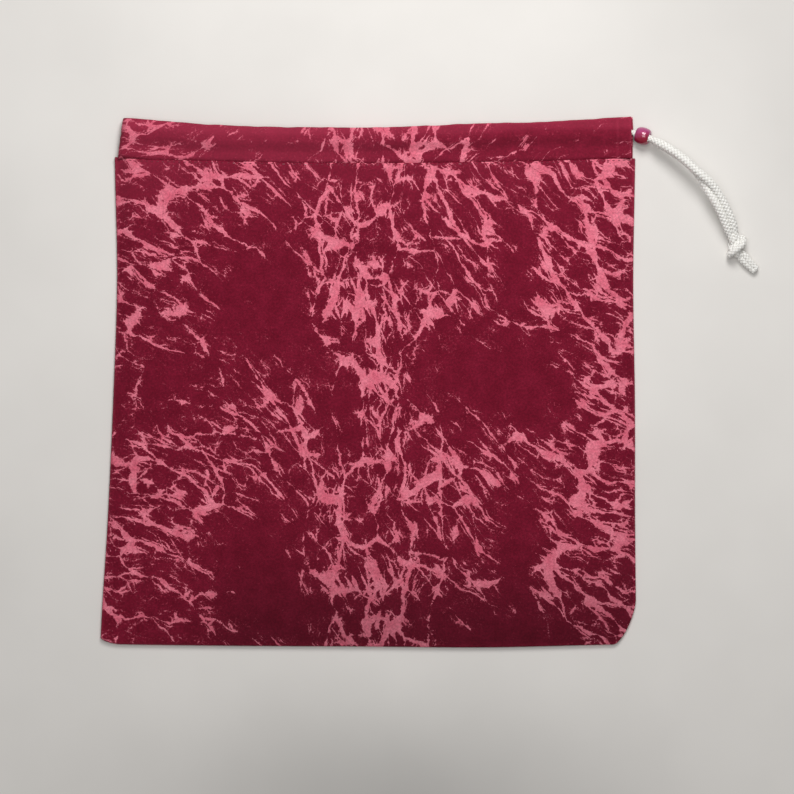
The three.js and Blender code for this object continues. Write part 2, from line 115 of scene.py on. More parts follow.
def way_gone(line):
    """How far along a line of points each of them is, from 0 at the first."""
    return np.r_[0, np.cumsum(np.linalg.norm(np.diff(line, axis=0), axis=1))]


def grid_quads(rows, columns, first=0, ring=False):
    """Corner numbers of a grid's faces, row by row. With ring, the last column joins the first."""
    across = np.arange(columns if ring else columns - 1)
    j, i = np.meshgrid(np.arange(rows - 1), across, indexing="ij")
    right = (i + 1) % columns
    low, high = j * columns, (j + 1) * columns
    corners = (low + i, low + right, high + right, high + i)
    return first + np.stack(corners, axis=-1).reshape(-1, 4)


def make_piece(name, points, faces, material, body, **attributes):
    """A mesh object at the origin. points are in millimetres; attributes are values per point."""
    mesh = bpy.data.meshes.new(name)
    mesh.from_pydata((points * MM).tolist(), [], faces)
    mesh.shade_smooth()
    for key, values in attributes.items():
        kind, field = ("FLOAT", "value") if values.ndim == 1 else ("FLOAT_VECTOR", "vector")
        stored = mesh.attributes.new(key, kind, "POINT").data
        stored.foreach_set(field, values.astype(np.float32).ravel())
    mesh.materials.append(material)
    piece = bpy.data.objects.new(name, mesh)
    scene.collection.objects.link(piece)
    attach(piece, body)
    triangles = sum(len(face) - 2 for face in faces)
    print(f"{name}: {len(points)} points, {triangles} triangles")
    return piece


def shell(face, back):
    """Points and faces of a closed sheet from two grids of equal shape, (rows, columns, 3). The
    face is seen with columns to the right and rows upwards; the back is the same grid seen from
    behind, so its faces run the other way round, and a strip of faces closes each edge."""
    rows, columns = face.shape[:2]
    count = rows * columns
    front = grid_quads(rows, columns)
    behind = grid_quads(rows, columns, first=count)[:, ::-1]
    number = np.arange(count).reshape(rows, columns)
    rim = np.concatenate([number[0, :], number[1:, -1], number[-1, -2::-1], number[-2:0:-1, 0]])
    onward = np.roll(rim, -1)
    edge = np.stack([onward, rim, rim + count, onward + count], axis=-1)
    points = np.concatenate([face.reshape(-1, 3), back.reshape(-1, 3)])
    return points, np.concatenate([front, behind, edge])


def waves(x, y, seed, count, shortest, longest):
    """A calm uneven surface between about -1 and 1: a sum of sine waves in random directions."""
    draw = np.random.default_rng(seed)
    total = 0.0
    for _ in range(count):
        length = draw.uniform(shortest, longest)
        heading = draw.uniform(0, 2 * pi)
        along = x * cos(heading) + y * sin(heading)
        total = total + np.sin(along * 2 * pi / length + draw.uniform(0, 2 * pi))
    return total / sqrt(count)


# %% [markdown]
# ## Where the bag's edges run
#
# The outline is not a true square. The left side slants out towards the bottom, the right one is
# nearly straight, the mouth sags a little in the middle and the lower right corner is cut round.
# These few functions say where each edge is, and every piece of cloth is built on them.

# %% The bag's outline
HALF_WIDTH = 143.5
MOUTH_Y = 141.5
BOTTOM_Y = -140.3
BOTTOM_SAG, SEAM_SAG, MOUTH_SAG = 1.2, 3.2, 5.5
CASING_HEIGHT = 21.4
SEAM_Y = MOUTH_Y - CASING_HEIGHT
LEFT_CORNER = (12, 3.9, 1.9)                 # how wide and high it is cut, and the curve's p
RIGHT_CORNER = (11.5, 23, 1.45)
LEFT_INSETS = (0.0, 3.8, 6.8, 8.9, 7.7)      # from the bottom up
RIGHT_INSETS = (-0.3, 0.3, 0.4, 1.3, 0.3)
FRONT_END = 140.7                            # the casing's front end, at the right
BACK_END = 141.9
TURN_X = -127.0                              # the casing turns round the left side here
TURN_RADIUS = 2.3
HALF_RUN = 1.9                               # half the casing's thickness over the cord
LEFT_SLANT = 3.0                             # how far that fold leans out
SHUT_RISE, GAPE_RISE = 4.1, 8.5              # of the front casing's middle over the back's
GAPE_FROM, GAPE_TO, GAPE_FADE = -75, 42, 50
CORD_Y, CORD_SAG = 133.7, 3.3


def along_list(values, t):
    """A smooth curve through evenly spaced values, read at t from 0 to 1: a cubic between each
    two, whose slope at a value is half the step between its neighbours."""
    values = np.asarray(values)
    place = np.clip(t, 0, 1) * (len(values) - 1)
    i = np.clip(np.floor(place).astype(int), 0, len(values) - 2)
    p0, p1, p2, p3 = (values[np.clip(i + k, 0, len(values) - 1)] for k in (-1, 0, 1, 2))
    return cubic(p1, p2, (p2 - p0) / 2, (p3 - p1) / 2, place - i)


def left_x(y):
    return -HALF_WIDTH + along_list(LEFT_INSETS, (y - BOTTOM_Y) / (SEAM_Y - BOTTOM_Y))


def right_x(y):
    return HALF_WIDTH - along_list(RIGHT_INSETS, (y - BOTTOM_Y) / (SEAM_Y - BOTTOM_Y))


def sag(x, depth):
    return depth * (1 - np.abs(x / HALF_WIDTH) ** 1.6)


def seam_y(x):
    """The casing's seam: it sags in the middle and turns up at the left end."""
    return SEAM_Y - sag(x, SEAM_SAG) + 1.1 * smooth(-x, 124, 138)


def fold_y(x):
    """The mouth's edge, drawn up at both corners and sagging between, most left of the middle."""
    uneven = 0.9 * (bell(x - 62, 38) - bell(x + 66, 38))
    return MOUTH_Y - sag(x, MOUTH_SAG) + smooth(np.abs(x), 80, 138) + uneven


def bottom_y(x):
    """A shallow bow, raised at both ends by a quarter of a curve t^p + h^p = 1, which is round for
    p = 2 and nearly a straight cut for p = 1.4."""
    def corner(depth, wide, high, p):
        t = np.clip(1 - depth / wide, 0, 1)
        return high * (1 - (1 - t**p) ** (1 / p))
    low = BOTTOM_Y - BOTTOM_SAG * (1 - (x / HALF_WIDTH) ** 2) - 0.8 * bell(x - 62, 45)
    return low + corner(HALF_WIDTH + x, *LEFT_CORNER) + corner(HALF_WIDTH - x, *RIGHT_CORNER)


def gape(x):
    """How open the mouth is: 1 from GAPE_FROM to GAPE_TO, fading to 0 on both sides."""
    shut_right = smooth(x, GAPE_TO, GAPE_TO + GAPE_FADE)
    return smooth(x, GAPE_FROM - GAPE_FADE, GAPE_FROM) * (1 - shut_right)


def front_run_z(x):
    """Height of the middle of the front casing, from the left fold over the gape to the end."""
    shut = mix(2 * TURN_RADIUS, SHUT_RISE, smooth(x, TURN_X, TURN_X + 50))
    return HALF_RUN + mix(shut, GAPE_RISE, gape(x))


def cord_y(x):
    return CORD_Y - CORD_SAG * gape(x)


def fold_lean(x, v):
    """How far the left fold leans out at the share v of the casing's height, most at the seam."""
    return LEFT_SLANT * (1 - v) * (1 - smooth(x, TURN_X, TURN_X + 25))


def round_the_fold(front, steps, back):
    """x and height of a run along the front casing, half a turn round the left fold and back
    along the back casing, and the angle of each step of the turn."""
    angle = np.radians(np.linspace(90, -90, steps)[1:-1])
    x = np.r_[front, TURN_X - TURN_RADIUS * np.cos(angle), back]
    turn_z = HALF_RUN + TURN_RADIUS * (1 + np.sin(angle))
    return x, np.r_[front_run_z(front), turn_z, np.full(len(back), HALF_RUN)], angle


print(f"mouth {2 * HALF_WIDTH:.0f} mm wide, casing {CASING_HEIGHT} mm high, "
      f"front lifted {front_run_z(0.0) - front_run_z(120.0):.1f} mm in the middle")

# %% [markdown]
# ## The cord's route
#
# The cord is one length of soft white braid. Its two strands leave the casing, are squeezed
# together in the bead, lie side by side in a low arch over the table, and are tied together in
# an overhand knot, past which two cut tails lie on the table. The route is worked out first:
# straight in the casing, a short bend to the bead, a true arc of a circle to the knot, the
# knot itself, and the tails.
#
# The knot's line isn't drawn by hand. A loose overhand knot is relaxed step by step: the line
# is smoothed, stretches that lie closer than one thickness push each other apart, and its ends
# are pulled along the cord, so that it draws tight as a real one does.

# %% The strands' arc
BEAD_CENTRE = np.array([147.0, 131.8, 5.1])
KNOT_CENTRE = np.array([196.7, 72.8, 5.2])
ARC_SWAY, ARC_RISE = 9.2, 6.0
BEAD_LENGTH = 7.4
CORD_SQUEEZED = 2.6
CORD_FREE = 4.1
SPLAY_FROM, SPLAY_TO = 0.40, 0.68     # the strands part between these shares of the arc
KNOT_LOW = 1.0              # the soft knot and the strands next to it sink this far
KNOT_UNIT = 3.0             # thickness of the cord drawn tight
KNOT_REACH = 1.75           # the knot reaches this many units to both sides of its middle
KNOT_SHAPE = np.array([1.0, 0.86, 0.92])    # and is pressed a little flat
KNOT_HALF = KNOT_REACH * KNOT_UNIT
UP = np.array([0.0, 0.0, 1.0])


def unit(v):
    return v / np.linalg.norm(v, axis=-1, keepdims=True)


chord = KNOT_CENTRE - BEAD_CENTRE
chord_way = unit(chord)
side_way = unit(np.array([-chord_way[1], chord_way[0], 0.0]))
bow = side_way * ARC_SWAY + UP * ARC_RISE
bow -= chord_way * (bow @ chord_way)
sagitta = np.linalg.norm(bow)
bow_way = unit(bow)
arc_radius = chord @ chord / (8 * sagitta) + sagitta / 2
arc_centre = BEAD_CENTRE + chord / 2 + bow_way * (sagitta - arc_radius)
arc_span = 2 * asin(np.linalg.norm(chord) / (2 * arc_radius))
arc_length = arc_radius * arc_span
strand_end = arc_length - KNOT_HALF - 0.3


def arc_at(s):
    """Points s mm past the bead's centre, with the directions along, level and over the arc."""
    angle = (np.asarray(s, dtype=float) / arc_radius - arc_span / 2)[..., None]
    along = chord_way * np.cos(angle) - bow_way * np.sin(angle)
    point = arc_centre + (bow_way * np.cos(angle) + chord_way * np.sin(angle)) * arc_radius
    level = unit(np.cross(UP, along))
    return point, along, level, np.cross(along, level)


def strand_half(s):
    """Half a strand's thickness: squeezed in the bead, the casing and at the knot, full between."""
    rim = BEAD_LENGTH / 2
    free = smooth(s, rim - 0.6, rim + 4.5) * (1 - smooth(s, strand_end - 8, strand_end + 2))
    before = smooth(-s, rim - 0.6, rim + 1) * (1 - smooth(-s, rim + 1, rim + 5))
    return mix(CORD_SQUEEZED, CORD_FREE, np.maximum(free, 0.55 * before)) / 2


def strand_line(s, above):
    """One strand beside the arc: over (above = 1) or under (-1) in the bead, beside it after."""
    point, along, level, over = arc_at(s)
    splay = smooth(s, SPLAY_FROM * arc_length, SPLAY_TO * arc_length)
    apart = (above * strand_half(s) * (1 - 0.08 * splay))[..., None]
    turn = ((pi / 2) * (1 - splay))[..., None]
    sunk = UP * (KNOT_LOW * smooth(s, 0.5 * arc_length, strand_end))[..., None]
    return point - sunk + apart * (level * np.cos(turn) + over * np.sin(turn))


print(f"arc of radius {arc_radius:.1f} mm, {arc_length:.1f} mm from bead to knot")


# %% The overhand knot
def even(points, count):
    """The same line with points at equal distances along it."""
    gone = way_gone(points)
    places = np.linspace(0, gone[-1], count)
    return np.stack([np.interp(places, gone, points[:, k]) for k in range(3)], 1)


def overhand(count=48, rounds=600, reach=2.6, pull=0.004):
    """Middle line of a tight overhand knot along X, for a cord one unit thick. It starts as the
    curve t^3 - 3t, t^4 - 4t^2, t^5 - 10t, scaled, which is a loose overhand knot."""
    t = np.linspace(-2.25, 2.25, 120)
    loose = np.stack([0.73 * (t**3 - 3 * t), 0.59 * (t**4 - 4 * t**2), 0.26 * (t**5 - 10 * t)], 1)
    lead = np.array([4.0, 0.0, 0.0])
    line = even(np.vstack([loose[0] - lead, loose, loose[-1] + lead]), count)
    number = np.arange(count)
    for _ in range(rounds):
        step = np.linalg.norm(line[1] - line[0])
        near = np.abs(number[:, None] - number) <= np.ceil(pi / 2 / step) + 1
        line[:, 1] -= line[count // 4:-count // 4, 1].mean()
        line[0, 0] -= pull
        line[-1, 0] += pull
        line[[0, -1], 1:] *= 0.9
        line[1:-1] = 0.5 * line[1:-1] + 0.25 * line[:-2] + 0.25 * line[2:]
        for _ in range(3):
            away = line[:, None] - line
            gap = np.linalg.norm(away, axis=2)
            touch = ~near & (gap < 1)
            push = np.where(touch, 0.45 * (1 - gap) / np.where(touch, gap, 1), 0)
            line = line + (push[..., None] * away).sum(1) / np.maximum(touch.sum(1), 1)[:, None]
        inside = np.where(np.abs(line[:, 0]) <= reach)[0]
        line = even(line[max(inside[0] - 1, 0):inside[-1] + 2], count)
    return line


knot_way = arc_at(arc_length)[1]
knot_across = unit(np.cross(knot_way, UP))
knot_up = np.cross(knot_across, knot_way)
tight = overhand()
tight = tight[np.abs(tight[:, 0]) < KNOT_REACH] * (KNOT_UNIT * KNOT_SHAPE)
knot_line = KNOT_CENTRE - UP * KNOT_LOW + tight @ np.stack([knot_way, knot_up, -knot_across])
print(f"knot line {way_gone(knot_line)[-1]:.0f} mm long")

# %% [markdown]
# ## The braid
#
# Eight thin yarns are plaited into the cord, four turning each way, so that the surface shows
# rows of small slanting pads that lean left and right in turn: the chevrons of a braid. A tube
# is carried along the route, and its radius rises and falls with this plait. Winding counts of
# the two families of yarns, a and b, are numbered from the angle round the cord and the distance
# along it. Where the whole numbers of a and b add up to an even number, a yarn of the first
# family lies on top, and otherwise one of the second.

# %% Frames and tubes
YARNS = 4                   # of each family
FILAMENTS = 5               # seen across a yarn
LAY = 8.4                   # length in which a yarn goes once round
RELIEF = 0.22               # how deep the grooves between yarns are, as a share of the radius
REST = 0.15                 # what would sink below this height is pressed flat on the table


def braid_pads(angle, s):
    """Height of the plait from 0, between yarns, to 1, and how far across its yarn a point is."""
    a = YARNS * (angle / (2 * pi) + s / LAY)
    b = YARNS * (angle / (2 * pi) - s / LAY)
    first = (np.floor(a) + np.floor(b)) % 2 == 0
    across = np.where(first, a, b) % 1
    along = np.where(first, b, a) % 1
    height = np.sin(pi * across) ** 0.7 * (0.25 + 0.75 * np.sin(pi * along) ** 0.5)
    height *= np.minimum(1, 6 * np.minimum(along, 1 - along))
    return height, across


def frames(line, start):
    """Directions across and over a line at each point, turned as little as possible on the way."""
    along = unit(np.gradient(line, axis=0))
    across = np.empty_like(line)
    across[0] = unit(start - along[0] * (start @ along[0]))
    for k in range(1, len(line)):
        across[k] = unit(across[k - 1] - along[k] * (across[k - 1] @ along[k]))
    return along, across, np.cross(along, across)


def smooth_line(points, spacing):
    """A line through points at the given spacing, its corners rounded off."""
    line = even(points, int(round(way_gone(points)[-1] / spacing)) + 1)
    for _ in range(int(round(1.6 / spacing)) ** 2 // 2):
        line[1:-1] = 0.5 * line[1:-1] + 0.25 * (line[:-2] + line[2:])
    return line


def braided_tube(name, line, half, sides, start, phase, body, flat=1.0):
    """A closed braided tube. half is half its thickness at each point of the line, and flat how
    many times as wide as thick it is there; the braid's phase is in millimetres along the cord,
    so that two pieces of one cord can join."""
    along, across, over = frames(line, start)
    s = way_gone(line) + phase
    angle = np.arange(sides) * 2 * pi / sides
    height, thread = braid_pads(angle, s[:, None])
    # The ends are cut and melted to a round tip
    half = half[:, None]
    to_end = np.minimum(s - s[0], s[-1] - s)[:, None]
    height = mix(1.0, height, smooth(to_end, 0.5, 2.0))
    radius = half * (1 - RELIEF + RELIEF * height) * rounded(to_end, half / 1.1, 0.02)
    wide = over * np.broadcast_to(flat, len(line))[:, None]
    ring = across[:, None] * np.cos(angle)[:, None] + wide[:, None] * np.sin(angle)[:, None]
    points = (line[:, None] + ring * radius[..., None]).reshape(-1, 3)
    points[:, 2] = np.maximum(points[:, 2], REST + 0.12 * (points[:, 2] - REST))
    last = (len(line) - 1) * sides
    faces = grid_quads(len(line), sides, ring=True).tolist()
    faces += [list(range(sides))[::-1], list(range(last, last + sides))]
    piece = make_piece(name, points, faces, braid_material, body,
                       pad=height.ravel(), yarn=thread.ravel())
    return piece


# %% [markdown]
# ## Helpers for materials
#
# A few small functions keep the node code short: each adds a node, connects what it is given
# and hands back the output. The marbled print and the twill weave become node groups, which are
# built once and placed in a material with its own values.


# %% Node helpers
class Nodes:
    """Adds nodes to a tree. A value given to a socket may be a number, a colour or a socket."""

    def __init__(self, tree):
        self.tree = tree

    def put(self, socket, value):
        if isinstance(value, bpy.types.NodeSocket):
            self.tree.links.new(value, socket)
        else:
            socket.default_value = value

    def add(self, kind, inputs=None, **settings):
        node = self.tree.nodes.new(kind)
        for key, value in settings.items():
            setattr(node, key, value)
        for key, value in (inputs or {}).items():
            self.put(node.inputs[key], value)
        return node

    def fill(self, sockets, **values):
        for key, value in values.items():
            self.put(sockets[key.replace("_", " ")], value)

    def math(self, operation, *values):
        return self.add("ShaderNodeMath", dict(enumerate(values)), operation=operation).outputs[0]

    def total(self, *values):
        result = values[0]
        for value in values[1:]:
            result = self.math("ADD", result, value)
        return result

    def times(self, a, b):
        return self.math("MULTIPLY", a, b)

    def scaled(self, value, factor, plus):
        return self.math("MULTIPLY_ADD", value, factor, plus)

    def place(self):
        return self.add("ShaderNodeTexCoord").outputs["Object"]

    def join(self, x, y, z=0.0):
        return self.add("ShaderNodeCombineXYZ", {0: x, 1: y, 2: z}).outputs[0]

    def split(self, vector):
        return self.add("ShaderNodeSeparateXYZ", {0: vector}).outputs

    def length(self, vector):
        return self.add("ShaderNodeVectorMath", {0: vector}, operation="LENGTH").outputs["Value"]

    def noise(self, vector, detail=2.0, roughness=0.5, scale=1.0):
        return self.add("ShaderNodeTexNoise", {"Vector": vector, "Scale": scale, "Detail": detail,
                                               "Roughness": roughness}).outputs

    def ramp(self, value, low, high):
        return self.add("ShaderNodeMapRange", {"Value": value, "From Min": low, "From Max": high},
                        interpolation_type="SMOOTHSTEP").outputs[0]

    def blend(self, share, a, b):
        node = self.add("ShaderNodeMix", data_type="RGBA")
        for socket, value in ((0, share), (6, a), (7, b)):
            self.put(node.inputs[socket], value)
        return node.outputs[2]

    def bump(self, strength, distance, height):
        return self.add("ShaderNodeBump", {"Strength": strength, "Distance": distance,
                                           "Height": height}).outputs[0]

    def attribute(self, name, output="Fac"):
        return self.add("ShaderNodeAttribute", attribute_name=name).outputs[output]

    def group(self, tree, **inputs):
        node = self.add("ShaderNodeGroup", node_tree=tree)
        self.fill(node.inputs, **inputs)
        return node.outputs


def new_group(name, inputs, outputs):
    """An empty node group, its tree's helper, and its inputs and outputs, given as (name, kind)."""
    tree = bpy.data.node_groups.new(name, "ShaderNodeTree")
    for side, sockets in (("INPUT", inputs), ("OUTPUT", outputs)):
        for label, kind in sockets:
            tree.interface.new_socket(label, in_out=side, socket_type=f"NodeSocket{kind}")
    entry, leave = tree.nodes.new("NodeGroupInput"), tree.nodes.new("NodeGroupOutput")
    return tree, Nodes(tree), entry.outputs, leave.inputs


def new_material(name, **sockets):
    """A material with one Principled shader, whose plain sockets get the given values."""
    material = bpy.data.materials.new(name)
    material.use_nodes = True
    nodes, shader = Nodes(material.node_tree), material.node_tree.nodes["Principled BSDF"]
    nodes.fill(shader.inputs, **sockets)
    return material, nodes, shader.inputs


def srgb(red, green, blue):
    """A colour of the picture, 0 to 255, as the linear colour that a shader takes."""
    value = np.array([red, green, blue]) / 255
    linear = np.where(value <= 0.04045, value / 12.92, ((value + 0.055) / 1.055) ** 2.4)
    return (*linear.tolist(), 1.0)


# %% White braid
# Painted shade: the braid is darker in the grooves between its yarns
GROOVE_SHADE, ON_YARNS = srgb(202, 198, 190), srgb(248, 247, 243)

braid_material, nodes, shader = new_material("white_braid", Sheen_Weight=0.25, Sheen_Roughness=0.5)
fuzz = nodes.noise(nodes.place(), detail=3.0, scale=900.0)[0]
shade = nodes.ramp(nodes.total(nodes.attribute("pad"), nodes.times(fuzz, 0.3)), 0.05, 0.75)
filament = nodes.math("SINE", nodes.times(nodes.attribute("yarn"), 2 * pi * FILAMENTS))
height = nodes.total(nodes.times(filament, 0.35), fuzz)
nodes.fill(shader, Base_Color=nodes.blend(shade, GROOVE_SHADE, ON_YARNS),
           Roughness=nodes.ramp(fuzz, -0.6, 1.6), Normal=nodes.bump(0.35, 0.0003, height))

# %% [markdown]
# ## Laying the cords
#
# Each strand is one tube from just inside the casing to its cut tail. The length that can still
# be drawn out of the casing is a piece of its own, because it has to travel with the strands,
# and the loop that stays inside the casing is another, because it doesn't.

# %% The two strands with knot and tails
LEAD = 5.0                  # the strands start to bend this far inside the casing
SPARE_START = 97.7
SPLIT_X = 113.0             # the strand pieces start here, inside the casing
TAIL_LENGTH = 12.4
TAIL_HALF = 1.9
TAIL_HEADING = radians(-47)
TAIL_SHIFT = np.array([0.5, 0.8, 0])        # they leave the knot a little beside its middle
TAILS_APART = (0.60, 0.34)  # half thicknesses from their middle, at the knot and at the tip
KNOT_ASIDE = 1.35           # in the knot, from its middle line to a strand's
KNOTTED_HALF = 1.75         # half a strand's thickness there
LOOP_HALF = 1.25            # and in the casing's loop
FLAT_IN_BEAD, FLAT_FREE = 1.60, 1.12        # how many times as wide as thick
STEP, LOOP_STEP = 0.2, 0.8


def bend_to_bead(above, end_x, run_z):
    """From the straight run to the bead's bore: cubic easing in y and z, level at its start and
    in the arc's direction at its end."""
    entry = np.array([-BEAD_LENGTH / 2])
    to = strand_line(entry, above)[0]
    along = arc_at(entry)[1][0]

    def ease(x, start_x, start, end, slope):
        run = to[0] - start_x
        return cubic(start, end, 0, slope * run, np.clip((x - start_x) / run, 0, 1))

    x = np.linspace(end_x - LEAD, to[0], 24)[:-1]
    y = ease(x, end_x - LEAD, CORD_Y, to[1], along[1] / along[0])
    z = ease(x, end_x - 0.8, run_z, to[2], along[2] / along[0])
    return np.stack([x, y, z], 1)


def tail_line(side):
    """One cut tail: a quadratic curve out of the knot, turning to the tails' heading. The two are
    pressed together, and more so towards the tip."""
    heading = np.array([cos(TAIL_HEADING), sin(TAIL_HEADING), 0])
    out = unit(knot_way + heading)
    start = KNOT_CENTRE - UP * KNOT_LOW + out * (KNOT_HALF + 0.2) + TAIL_SHIFT
    end = start + heading * TAIL_LENGTH
    end[2] = TAIL_HALF + 0.3
    control = start + out * TAIL_LENGTH / 3
    t = np.linspace(0, 1, 14)[:, None]
    middle = (1 - t) ** 2 * start + 2 * t * (1 - t) * control + t**2 * end
    along = unit(np.gradient(middle, axis=0))
    level = unit(np.cross(UP, along))
    over = np.cross(along, level)
    aside = side * TAIL_HALF * mix(*TAILS_APART, t)
    return middle + level * aside + over * aside * 0.35


def strand_route(above, end_x, run_z):
    """The whole strand: spare length in the casing, bend, arc, knot and tail."""
    straight = [[x, CORD_Y, run_z] for x in np.linspace(SPARE_START, end_x - LEAD, 12)[:-1]]
    bend = bend_to_bead(above, end_x, run_z)
    free = strand_line(np.linspace(-BEAD_LENGTH / 2, strand_end, 60), above)
    across = frames(knot_line, arc_at(arc_length)[2])[1]
    beside = knot_line + across * above * KNOT_ASIDE
    return smooth_line(np.vstack([straight, bend, free, beside[1:-1], tail_line(above)[1:]]), STEP)


def strand_halves(line):
    """Half thickness along the whole strand, from the distances to the bead, knot and tail, and
    its flatness: in the bead the two strands are pressed wide and fill the bore."""
    gone = way_gone(line)
    at_bead, at_knot = (gone[np.argmin(np.linalg.norm(line - point, axis=1))]
                        for point in (BEAD_CENTRE, knot_line[0]))
    at_tail = gone[-1] - TAIL_LENGTH
    half = strand_half(np.minimum(gone - at_bead, (gone - at_knot) + strand_end))
    half = mix(half, KNOTTED_HALF, smooth(gone, at_knot - 4, at_knot))
    half = mix(half, TAIL_HALF, smooth(gone, at_tail - 1, at_tail + 3))
    flat = mix(FLAT_IN_BEAD, FLAT_FREE, smooth(np.abs(gone - at_bead), 2.5, 6.0))
    return half * (1 - 0.12 * smooth(gone, gone[-1] - 8, gone[-1])), flat


for label, above, end_x, run_z in (("over", 1, FRONT_END, front_run_z(FRONT_END)),
                                   ("under", -1, BACK_END, HALF_RUN)):
    route = strand_route(above, end_x, run_z)
    halves, flat = strand_halves(route)
    # The strand starts straight to the right, so that its first points are in order of x
    cut = np.searchsorted(route[:120, 0], SPLIT_X)
    spare = braided_tube(f"spare_{label}", route[:cut + 2], halves[:cut + 2], 24, UP, 0.0, "cord")
    strand = braided_tube(f"strand_{label}", route[cut:], halves[cut:], 32, UP, cut * STEP,
                          "cord", flat[cut:])

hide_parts("strand_front", "knot", "tail_front")
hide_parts("strand_back", "tail_back")

# %% The loop inside the casing
def loop_route():
    """The loop's line: along the front casing, half a turn round the left fold, and back."""
    front = np.linspace(SPARE_START - 0.3, TURN_X, 60)
    x, z, _ = round_the_fold(front, 12, np.linspace(TURN_X, SPARE_START - 0.3, 30))
    y = cord_y(x)
    v = (y - seam_y(x)) / (fold_y(x) - seam_y(x))
    return smooth_line(np.stack([x - fold_lean(x, v), y, z], 1), LOOP_STEP)


loop_line = loop_route()
loop_halves = np.full(len(loop_line), LOOP_HALF)
loop = braided_tube("casing_loop", loop_line, loop_halves, 16, np.array([0.0, 1.0, 0.0]),
                    0.0, "bag")
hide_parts("drawstring_loop")
print(f"loop in the casing {way_gone(loop_line)[-1]:.0f} mm long")

# %% [markdown]
# ## The bead
#
# A barrel bead is a profile turned round its axis: a swelling outside, flat ends with a soft
# edge, and a bore that the two strands fill. Its axis follows the arc at the bead's place. The
# plastic is crimson with a coat of pearl. A mauve sheen is painted into its colour where it turns
# away from the eye, and a painted reflection makes its side towards the mouth mauve as well.

# %% Bead shape
BEAD_HALF = 3.75
BEAD_RADIUS, BEAD_END, BORE = 4.65, 3.1, 2.35
BEAD_ASKEW = radians(4)     # it sits a little askew on the cord, turned towards the casing
BEAD_SIDES = 72
REFLECTION_FADE = 5.5             # mm over which the painted reflection grows towards the mouth


def bead_profile():
    """Radius and place along the axis, from the middle of the bore out over the barrel and back:
    the outside is end + swell * cos(t), half * sin(t), and each rim is half an ellipse."""
    t = np.radians(np.linspace(-78, 78, 27))
    outside = np.stack([BEAD_END + (BEAD_RADIUS - BEAD_END) * np.cos(t), BEAD_HALF * np.sin(t)], 1)
    edge_radius, edge_place = outside[-1]
    wide, high = (edge_radius - BORE) / 2, BEAD_HALF - edge_place
    t = np.radians(np.linspace(0, 180, 11))
    rim = np.stack([BORE + wide * (1 + np.cos(t)), edge_place + high * np.sin(t)], 1)
    upper = np.vstack([outside[13:], rim[1:], [[BORE, 0.9]]])
    lower = upper[::-1] * [1, -1]
    return np.vstack([upper, lower[:-1]])


profile = bead_profile()
bead_point, bead_along, bead_level, _ = (v[0] for v in arc_at([0.0]))
bead_axis = bead_along * cos(BEAD_ASKEW) + bead_level * sin(BEAD_ASKEW)
bead_side = unit(np.cross(UP, bead_axis))
number = np.arange(BEAD_SIDES)
turns = (number * 2 * pi / BEAD_SIDES)[:, None]
ring = bead_side * np.cos(turns) + np.cross(bead_axis, bead_side) * np.sin(turns)
points = bead_point + ring * profile[:, :1, None] + bead_axis * profile[:, 1:, None]
# A last row of faces closes the bore, from the profile's end back to its start
onward, last = (number + 1) % BEAD_SIDES, (len(profile) - 1) * BEAD_SIDES
closing = np.stack([last + number, last + onward, onward, number], 1)
faces = np.concatenate([grid_quads(len(profile), BEAD_SIDES, ring=True), closing])[:, ::-1]

# %% Pearly plastic
PLASTIC, MAUVE_PEARL_AND_SHEEN = srgb(142, 0, 42), srgb(176, 70, 126)

pearl_material, nodes, shader = new_material(
    "raspberry_pearl", Coat_Weight=1.0, Coat_Roughness=0.11, Coat_IOR=1.58, Specular_IOR_Level=0.1)
place = nodes.place()
swirl = nodes.noise(place, detail=3.0, roughness=0.55, scale=230.0)[0]
facing = nodes.add("ShaderNodeLayerWeight", {"Blend": 0.30}).outputs["Facing"]
# Painted reflection: the side that lies towards the mouth's corner is painted mauve, as if lit
upper = nodes.scaled(nodes.split(place)[1], 1 / (REFLECTION_FADE * MM), -bead_point[1] / REFLECTION_FADE)
# Painted sheen where the surface turns away from the eye, the painted reflection, and the pearl's
# own swirls
pearl_and_sheen = nodes.total(nodes.times(facing, 0.7), nodes.times(upper, 0.45), nodes.times(swirl, 0.9))
pearl_and_sheen_share = nodes.ramp(pearl_and_sheen, 0.2, 1.0)
nodes.fill(shader, Base_Color=nodes.blend(pearl_and_sheen_share, PLASTIC, MAUVE_PEARL_AND_SHEEN),
           Metallic=nodes.times(pearl_and_sheen_share, 0.25), Roughness=nodes.ramp(swirl, -0.6, 1.7))

bead = make_piece("pearl_bead", points.reshape(-1, 3), faces.tolist(), pearl_material, "bead")
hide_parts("bead")

# %% [markdown]
# ## The strands
#
# Both strands are free: they leave the casing's right-hand end, carry the bead and end in
# the knot.

# %% [markdown]
# ## The marbled print
#
# The cloth is printed with a marbling: pink veins on a crimson ground, as when thin paint cracks
# and runs. Veins are the edges between cells, so a Voronoi texture that measures the distance
# to the nearest edge draws them. Three sizes of cells are laid over each other, and the finer
# ones only show close to the coarser, which makes twigs grow from branches and branches from
# stems. The cells are stretched along the way the veins run and bent by noise.
#
# Where the print is dense or calm repeats every 147 mm up the cloth, as on a printed roll. This
# and the way in which the veins run are slow changes that numpy works out for every point of the
# cloth and stores in the attribute "layout".

# %% Layout of the print
REPEAT, ACROSS = 147.0, 290.0     # mm after which the print's layout starts again, up and across
MOST_INK = 1.2
